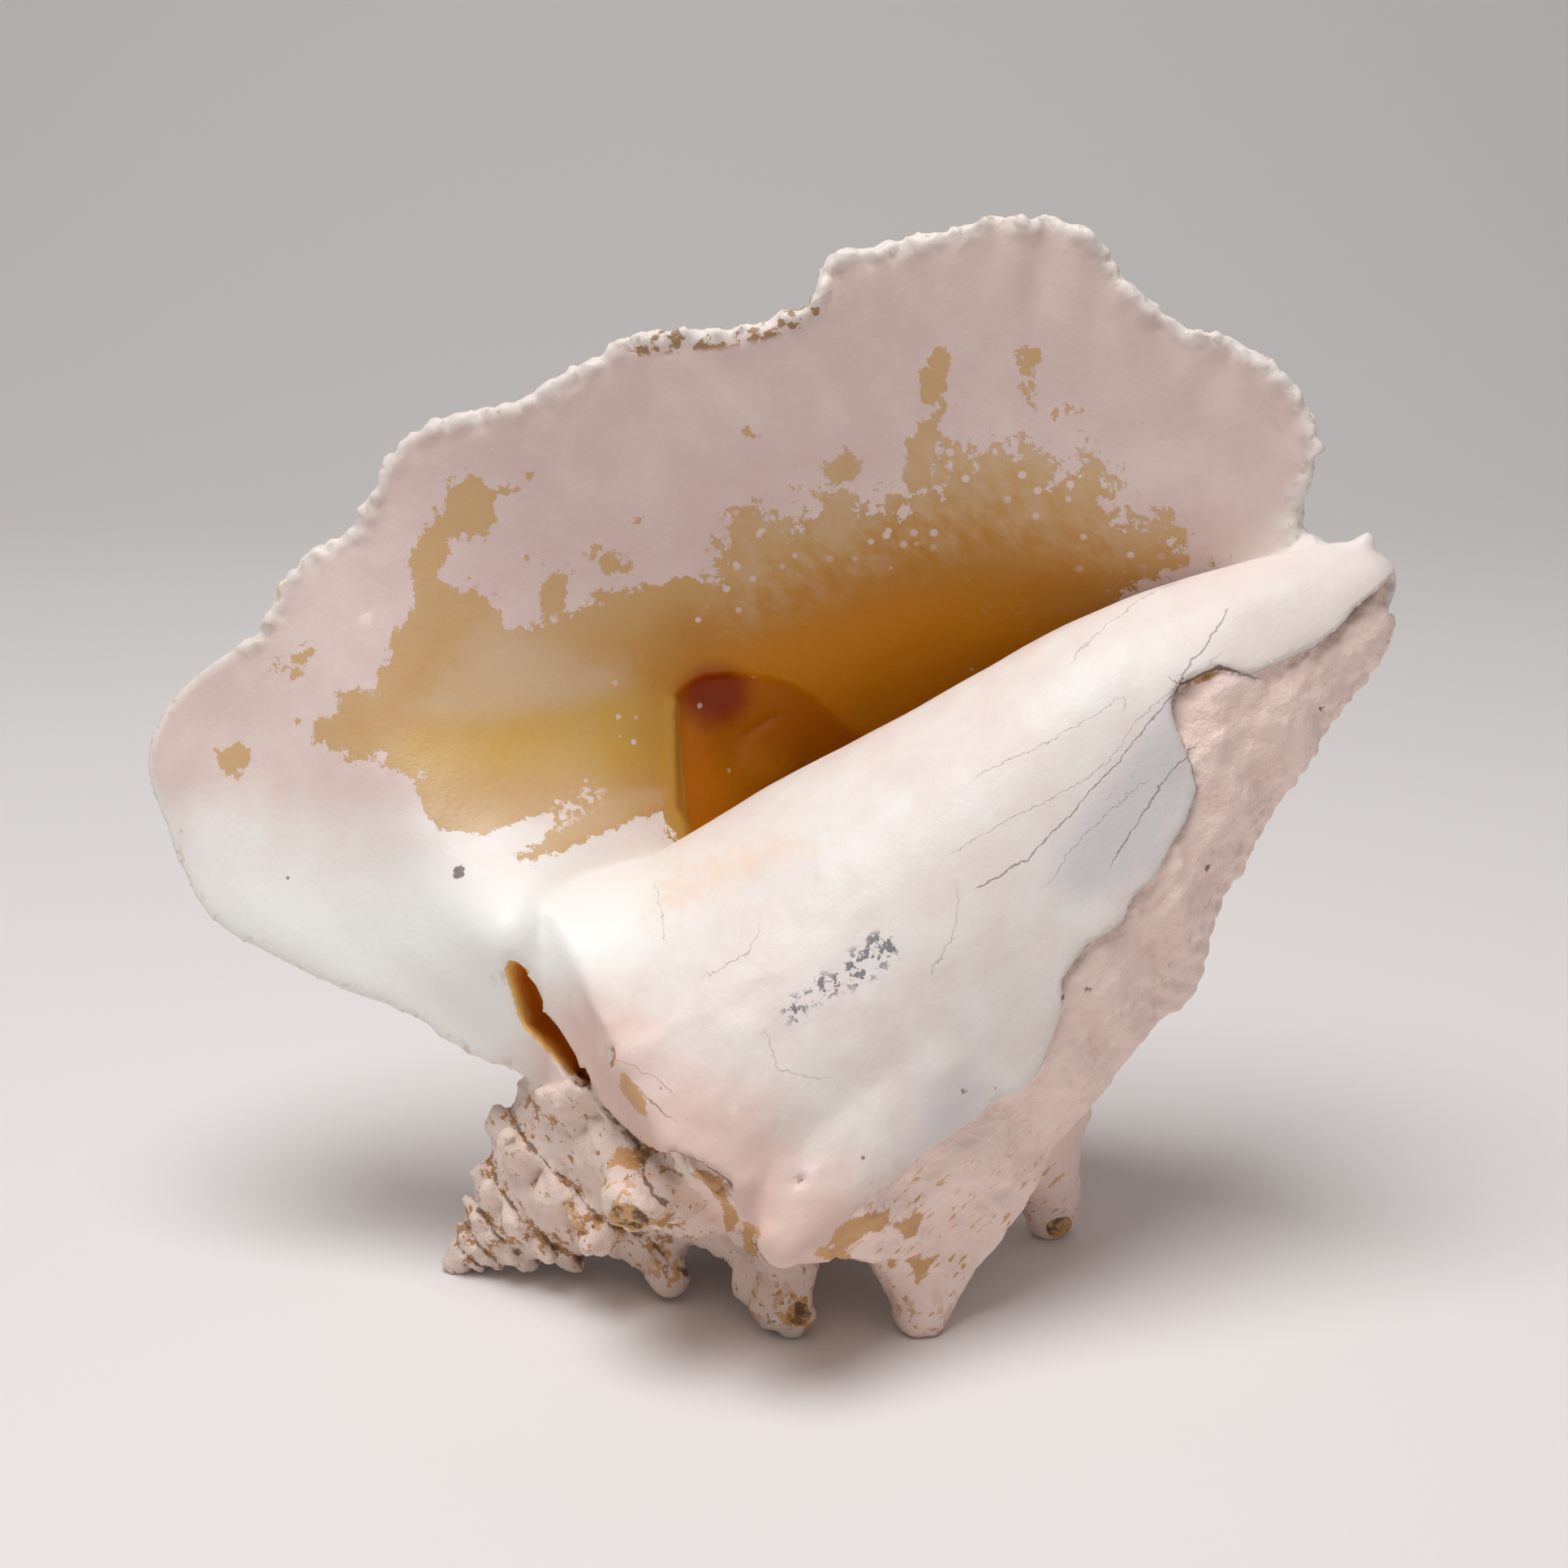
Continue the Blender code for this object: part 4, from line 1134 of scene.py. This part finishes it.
def clouded(size, detail=3.0, rough=0.55, where=spot):
    """Noise whose lumps are about size mm across, centred on 0 and about -1 to 1."""
    sizes = {"Scale": 1000.0 / size, "Detail": detail, "Roughness": rough}
    made = Node.make("ShaderNodeTexNoise", {"noise_dimensions": "3D"}, Vector=where, **sizes)
    return (made - 0.5) * 3.2


def specks(apart, size, share):
    """Small dots about apart mm from each other, size mm wide; only this share of them is there."""
    settings = {"voronoi_dimensions": "3D"}
    away = Node.make("ShaderNodeTexVoronoi", settings, Vector=spot, Scale=1000.0 / apart)
    colour = Node.make("ShaderNodeTexVoronoi", settings, out=1, Vector=spot, Scale=1000.0 / apart)
    chance = Node.make("ShaderNodeSeparateColor", i0=colour)
    near_dot = away.between(size / apart, 0.6 * size / apart)
    return near_dot * chance.between(1 - share - 0.01, 1 - share + 0.01)


def drawn_out(stretch):
    """The place in the shell's own directions, drawn out by a stretch along each of them."""
    turns = tuple(np.radians(turn) for turn in LIES)
    settings = {"vector_type": "TEXTURE"}
    return Node.make("ShaderNodeMapping", settings, Vector=spot, Rotation=turns, Scale=stretch)


fine = clouded(1.1, 2.0)
small = clouded(3.2)
middle = clouded(9.0)
wide_cloud = clouded(32.0, 2.0)
glaze_mark = mark("glaze")
hollow_mark = mark("hollow")
rim_mark = mark("rim")
is_glazed = (glaze_mark + 0.5 * small).between(-0.25, 0.25)

# The bleached glaze: nearly white, a little pink and cream in places
WHITE = srgb(246, 241, 235)
CREAM = srgb(241, 230, 218)
PINKISH = srgb(240, 225, 219)
glaze_colour = (0.5 * middle + 0.5 * wide_cloud).between(-0.5, 0.7).mix(PINKISH, WHITE)
glaze_colour = (wide_cloud * 0.6 + 0.4 * small).between(0.35, 0.9).mix(glaze_colour, CREAM)

# The outer layer: chalk whose pink is partly painted pink bounce light, darker in random patches and, as
# painted shade, in its hollows, with dirt in its hollows
CHALK = srgb(254, 229, 218)
CHALK_DARK = srgb(246, 212, 199)
DIRTY_CHALK = srgb(214, 180, 146)
shaded = (0.5 * small + 0.5 * middle + 0.3 * hollow_mark).between(-0.2, 0.9)
dirty = (clouded(3.0, 5.0, 0.7) + 0.8 * wide_cloud + 0.6 * hollow_mark).between(0.7, 1.2)
outer_colour = coated(CHALK, (shaded, 1, CHALK_DARK), (dirty, 0.5, DIRTY_CHALK))

# The spire: paler chalk, blotched and ticked with brown, most of all along the sutures
SPIRE_CHALK = srgb(236, 215, 203)
SPIRE_STAIN = srgb(184, 140, 98)
TICK_BROWN = srgb(128, 92, 62)
suture_mark = mark("suture")
on_spire = mark("spire").between(0.0, 1.5) * glaze_mark.between(0.2, -0.6)
blotches = 0.5 * middle + clouded(2.2, 5.0, 0.68, drawn_out((1.6, 1.6, 1.0)))
blotches = (blotches + suture_mark.between(2.5, 0.0) * 0.15 + hollow_mark * 0.15).between(0.2, 0.4)
ticks = clouded(1.3, 2.0, 0.5, drawn_out((1.0, 1.0, 2.2))).between(0.62, 0.74)
ticks = ticks * clouded(7.0).between(-0.3, 0.3)
spire_colour = coated(SPIRE_CHALK, (blotches, 1, SPIRE_STAIN), (ticks, 0.75, TICK_BROWN))
outer_colour = on_spire.mix(outer_colour, spire_colour)

# The inside of the lip is painted darker and pinker than the callus: partly its own pink, partly painted
# shade and pink bounce light where it faces away from the lamp. Its thick lobe by the slit is painted
# whiter, as painted light where it faces up to the lamp
LIP_PINK_SHADED = srgb(225, 200, 194)
LIP_PALE_SHADED = srgb(234, 215, 208)
LOBE_WHITE_LIT = srgb(254, 252, 247)
shaded_lip_colour = (0.6 * middle + 0.7 * wide_cloud).between(-0.6, 0.9).mix(LIP_PINK_SHADED, LIP_PALE_SHADED)
lip_shade_share = mark("lip").between(0.0, 1.0)
glaze_colour = coated(glaze_colour, (lip_shade_share, 1, shaded_lip_colour), (mark("lobe"), 1, LOBE_WHITE_LIT))
colour = is_glazed.mix(outer_colour, glaze_colour)

# Tints of the callus, and a pink band along its foot and the lower edge of the front spines that is partly
# painted shade and pink bounce light where the shell faces down
BLUE_GREY = srgb(219, 215, 219)
PINK_SHADE_BELOW = srgb(233, 194, 181)
PEACH_TINT = srgb(250, 219, 195)
colour = coated(
    colour,
    ((mark("bluish") + 3.0 * middle).between(-3.0, 5.0), 0.75, BLUE_GREY),
    ((mark("skirt") + 3.0 * middle).between(24.0, 3.0), 0.8, PINK_SHADE_BELOW),
    ((mark("peach") + 4.0 * small).between(-4.0, 6.0), 0.7, PEACH_TINT),
)

# Where the amber film lies: ragged at its edge, streaky at the broken one, splashed beyond it
stain_mark = mark("stain")
deep_mark = mark("deep")
broken_edge = mark("broken").between(-5.0, 2.0)
ragged = clouded(2.8, 7.0, 0.72)
drips = clouded(3.6, 4.0, 0.6, drawn_out((1.0, 2.4, 1.0)))
covered = (stain_mark + ragged * (4.5 + 6.0 * broken_edge) + drips * 5.0 * broken_edge).between(-0.2, 0.25)
splashed = (mark("splash") + 2.0 * ragged + 0.2).between(-0.12, 0.15)
bare = (mark("flecks") + 0.8 * small).between(-1.0, 2.0) * clouded(2.2, 4.0).between(-0.05, 0.15)
bare = bare.most(mark("dots").between(-3.0, 2.0) * specks(3.6, 0.8, 0.5))
bare = bare.most(stain_mark.between(14.0, 6.0) * broken_edge * specks(3.2, 1.1, 0.4))
bare = bare.most(stain_mark.between(34.0, 4.0) * specks(6.0, 0.8, 0.16))
bare = bare.most((mark("holes") + 0.15 * fine).between(-0.1, 0.1))
film = covered.most(splashed) * (1 - bare)

# Its colour: tan at the edge, amber within, brown towards the throat, pale where it is thin
TAN = srgb(206, 165, 106)
AMBER = srgb(202, 150, 72)
PALE_FILM = srgb(214, 186, 152)
YELLOW_FILM = srgb(208, 168, 84)
BROWN_FILM = srgb(190, 126, 26)
DEEP_FILM = srgb(216, 142, 12)
depth = (stain_mark + 4.0 * wide_cloud + 2.0 * middle).between(0.0, 20.0)
streaked = clouded(2.6, 5.0, 0.7, drawn_out((1.0, 3.0, 1.0)))
film_colour = coated(
    TAN,
    (depth, 1, AMBER),
    ((mark("thin") + 3.0 * middle).between(-6.0, 6.0), 0.75, PALE_FILM),
    ((mark("yellow") + 1.5 * middle).between(-5.0, 4.0), 0.85, YELLOW_FILM),
    ((mark("brown") + 3.0 * wide_cloud + 2.0 * middle).between(-16.0, 9.0), 1, BROWN_FILM),
    (deep_mark.between(14.0, 26.0), 0.9, DEEP_FILM),
    ((mark("strip") + 1.2 * small).between(-1.0, 2.0), 0.4, PALE_FILM),
    (mark("broken").between(-9.0, 8.0) * drips.between(-0.6, 0.7), 0.6, PALE_FILM),
    (streaked.between(0.2, 1.0), 0.35, PALE_FILM),
)

# The fold deep in the mouth, its hollow and the drip beside it
PIT_BROWN = srgb(152, 56, 0)
ARCH_BROWN = srgb(196, 112, 6)
RIDGE_FILM = srgb(196, 150, 66)
arch_mark = mark("arch")
film_colour = coated(
    film_colour,
    (arch_mark.between(-1.0, 3.0) * arch_mark.between(30.0, 6.0), 0.8, ARCH_BROWN),
    ((mark("pit") + 1.0 * middle).between(10.5, 3.5), 1, PIT_BROWN),
    (mark("ridge").between(2.6, 1.6), 0.8, RIDGE_FILM),
)
thickness = 0.84 + 0.16 * depth.most(deep_mark.between(2.0, 12.0))
colour = (film * thickness).mix(colour, film_colour)

# Old amber in patches on the glaze, in streaks beside the front spine, and on the spine tips
OLD_AMBER = srgb(210, 156, 92)
streaks = clouded(1.7, 3.0, 0.6, drawn_out((1.0, 1.0, 3.2)))
amber_mark = (mark("amber") + 0.9 * small + 0.4 * fine).between(-0.2, 0.3)
amber_mark = amber_mark.most((mark("knee") + 6.0 * middle).between(-8.0, 8.0) * streaks.between(0.36, 0.46))
tip_amber = mark("tip").between(14.0, 3.0) * (small + middle).between(0.1, 0.3) * (1 - is_glazed)
amber_mark = amber_mark.most(tip_amber)
colour = (amber_mark * 0.85).mix(colour, OLD_AMBER)

# The slit is stained right through, browner inside
SLIT_AMBER = srgb(248, 204, 122)
SLIT_BROWN = srgb(214, 130, 30)
slit_colour = (mark("slit_depth") + 1.5 * small).between(2.5, 8.0).mix(SLIT_AMBER, SLIT_BROWN)
colour = (mark("slit") + 0.2 * fine).between(0.0, 0.35).mix(colour, slit_colour)

# Broken tips and holes have a dark ring round them
SCAR_DARK = srgb(76, 46, 28)
scar_colour = (small + 0.6 * fine).between(-0.3, 0.5).mix(OLD_AMBER, SCAR_DARK)
colour = ((mark("scar") + 0.35 * small).between(0.5, 0.1) * 0.85).mix(colour, scar_colour)

# Cracks, and the dark lines along the callus edge, its foot and the sutures
CRACK_GREY = srgb(120, 112, 110)
CRACK_BROWN = srgb(96, 66, 44)
wander = 0.5 * small + 0.25 * fine
crack_line = abs(mark("crack_side") + wander).between(0.22, 0.07) * mark("crack_away").between(3.0, 1.6)
hair_line = abs(mark("hairline_side") + 1.5 * wander).between(0.14, 0.03)
hair_line = hair_line * mark("hairline_away").between(3.0, 1.6)
edge_line = abs(mark("edge") + 0.6 * wander).between(0.45, 0.12)
edge_line = edge_line * (0.3 + 0.7 * mark("worn_edge").between(0.1, 0.6))
edge_line = edge_line * mark("edge_away").between(3.0, 1.5)
foot_line = abs(glaze_mark + 0.6 * wander).between(0.5, 0.15) * mark("foot").between(3.0, 1.5)
suture_line = (suture_mark + 0.35 * small).between(0.5, 0.2) * clouded(6.0).between(-0.6, 0.0) * on_spire
colour = coated(
    colour,
    (crack_line, 0.6, CRACK_GREY),
    (hair_line, 0.35, CRACK_GREY),
    (edge_line, 0.85, CRACK_BROWN),
    (foot_line, 0.8, CRACK_BROWN),
    (suture_line, 0.75, CRACK_BROWN),
)

# Grey speckles, dark specks and glassy rings, and painted shade that darkens the chalk in its deepest
# hollows
SPECK_GREY = srgb(92, 96, 106)
GLASS_BLUE = srgb(196, 212, 224)
GLASS_YELLOW = srgb(214, 206, 170)
speckled = (mark("speckled") + 1.6 * small).between(-1.5, 0.8) * clouded(2.1, 4.0, 0.65).between(0.0, 0.12)
spotted = (mark("spots") + 0.5 * fine).between(-0.15, 0.15)
spot_colour = (small + fine).between(-0.5, 0.5).mix(SPECK_GREY, CRACK_BROWN)
ring_colour = small.between(-0.2, 0.2).mix(GLASS_BLUE, GLASS_YELLOW)
colour = coated(
    colour,
    (speckled, 0.8, SPECK_GREY),
    (specks(11.0, 0.5, 0.08), 0.7, CRACK_BROWN),
    (spotted, 0.8, spot_colour),
    (mark("rings").between(0.6, 0.2), 0.5, ring_colour),
    (hollow_mark.between(0.4, 1.2) * 0.14 * (1 - is_glazed), 1, CRACK_BROWN),
)

# The rim is bleached white, flaked, and pitted where it has lain on something
RIM_TAN = srgb(190, 160, 112)
RIM_PIT_BROWN = srgb(152, 110, 52)
flaked = rim_mark.between(4.0, 1.0) * clouded(2.4, 3.0).between(0.2, 0.5)
pitted = mark("rim_pitted").between(0.2, 0.6) * rim_mark.between(5.5, 3.5)
pitted = pitted * clouded(3.0, 4.0, 0.6).between(0.0, 0.2)
bleached = rim_mark.between(3.5, 1.0)
colour = coated(colour, (bleached, 0.6, WHITE), (flaked, 0.4, RIM_TAN), (pitted, 0.85, RIM_PIT_BROWN))

# The glaze is smoother than the chalk, and cracks and grain stand only in the shading
grainy = fine * 0.6 + small * 0.4 + clouded(5.0, 5.0, 0.6) * 1.2
relief = grainy * (1.25 - 0.95 * is_glazed) - 1.5 * crack_line - 0.8 * hair_line
relief = relief + 0.25 * film - 1.5 * suture_line
bump = Node.make("ShaderNodeBump", Strength=0.5, Distance=0.00025, Height=relief)
Node.put(surface.inputs["Base Color"], colour)
Node.put(surface.inputs["Roughness"], 0.62 - 0.2 * is_glazed - 0.08 * film + 0.06 * small)
Node.put(surface.inputs["Specular IOR Level"], 0.32)
Node.put(surface.inputs["Normal"], bump)
shell.data.materials.clear()
shell.data.materials.append(material)
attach(shell, "root")
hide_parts("conch_shell")

# ---------------------------------------------------------------------------
# The floor and the light
# A pale paper sweep, curved up behind the shell. One large soft lamp hangs above and in front, a little to
# the left, and a weak even light fills the room.
# ---------------------------------------------------------------------------
HALF_WIDTH = 4.0
BEND_START = 0.9
BEND_RADIUS = 0.8
PAPER = (0.86, 0.83, 0.82, 1)
ROOM_LIGHT = (1, 0.97, 0.955, 1)
bend = np.linspace(0.1, np.pi / 2, 20)
profile = [(-3.0, 0.0)] + [(y, 0.0) for y in np.linspace(-1.0, BEND_START, 6)]
profile += [(BEND_START + BEND_RADIUS * np.sin(t), BEND_RADIUS * (1 - np.cos(t))) for t in bend]
profile += [(BEND_START + BEND_RADIUS, 3.0)]
corners = [(x, float(y), float(z)) for y, z in profile for x in (-HALF_WIDTH, HALF_WIDTH)]
strips = [(2 * i, 2 * i + 1, 2 * i + 3, 2 * i + 2) for i in range(len(profile) - 1)]
floor_mesh = bpy.data.meshes.new("floor")
floor_mesh.from_pydata(corners, [], strips)
floor_mesh.shade_smooth()
floor = bpy.data.objects.new("floor", floor_mesh)
bpy.context.scene.collection.objects.link(floor)
paper = bpy.data.materials.new("pale_paper")
paper.use_nodes = True
paper_surface = paper.node_tree.nodes["Principled BSDF"]
paper_surface.inputs["Base Color"].default_value = PAPER
paper_surface.inputs["Roughness"].default_value = 0.9
floor_mesh.materials.append(paper)

world = bpy.data.worlds.new("studio")
bpy.context.scene.world = world
world.use_nodes = True
room = world.node_tree.nodes["Background"]
room.inputs["Color"].default_value = ROOM_LIGHT
room.inputs["Strength"].default_value = 0.23

LAMP_AT = (-0.20, -0.32, 1.45)
LAMP_AIM = (0, 0, 0.1)
light = bpy.data.lights.new("window", "AREA")
light.shape = "DISK"
light.size = 1.0
light.energy = 17.0
lamp = bpy.data.objects.new("window", light)
lamp.location = LAMP_AT
lamp.rotation_euler = (Vector(LAMP_AIM) - Vector(LAMP_AT)).to_track_quat("-Z", "Y").to_euler()
bpy.context.scene.collection.objects.link(lamp)

# ---------------------------------------------------------------------------
# The camera
# A lens a little longer than normal, in front of the shell and above it, tipped down towards it.
# ---------------------------------------------------------------------------
TIPPED_DOWN = 15.9
camera_lens = bpy.data.cameras.new("camera")
camera_lens.lens = 60.0
camera_lens.sensor_width = 36.0
camera = bpy.data.objects.new("camera", camera_lens)
camera.location = (0.00598, -0.53372, 0.25857)
camera.rotation_euler = (np.radians(90 - TIPPED_DOWN), 0, 0)
bpy.context.scene.collection.objects.link(camera)
bpy.context.scene.camera = camera
bpy.context.scene.view_settings.view_transform = "Standard"

bpy.context.view_layer.update()
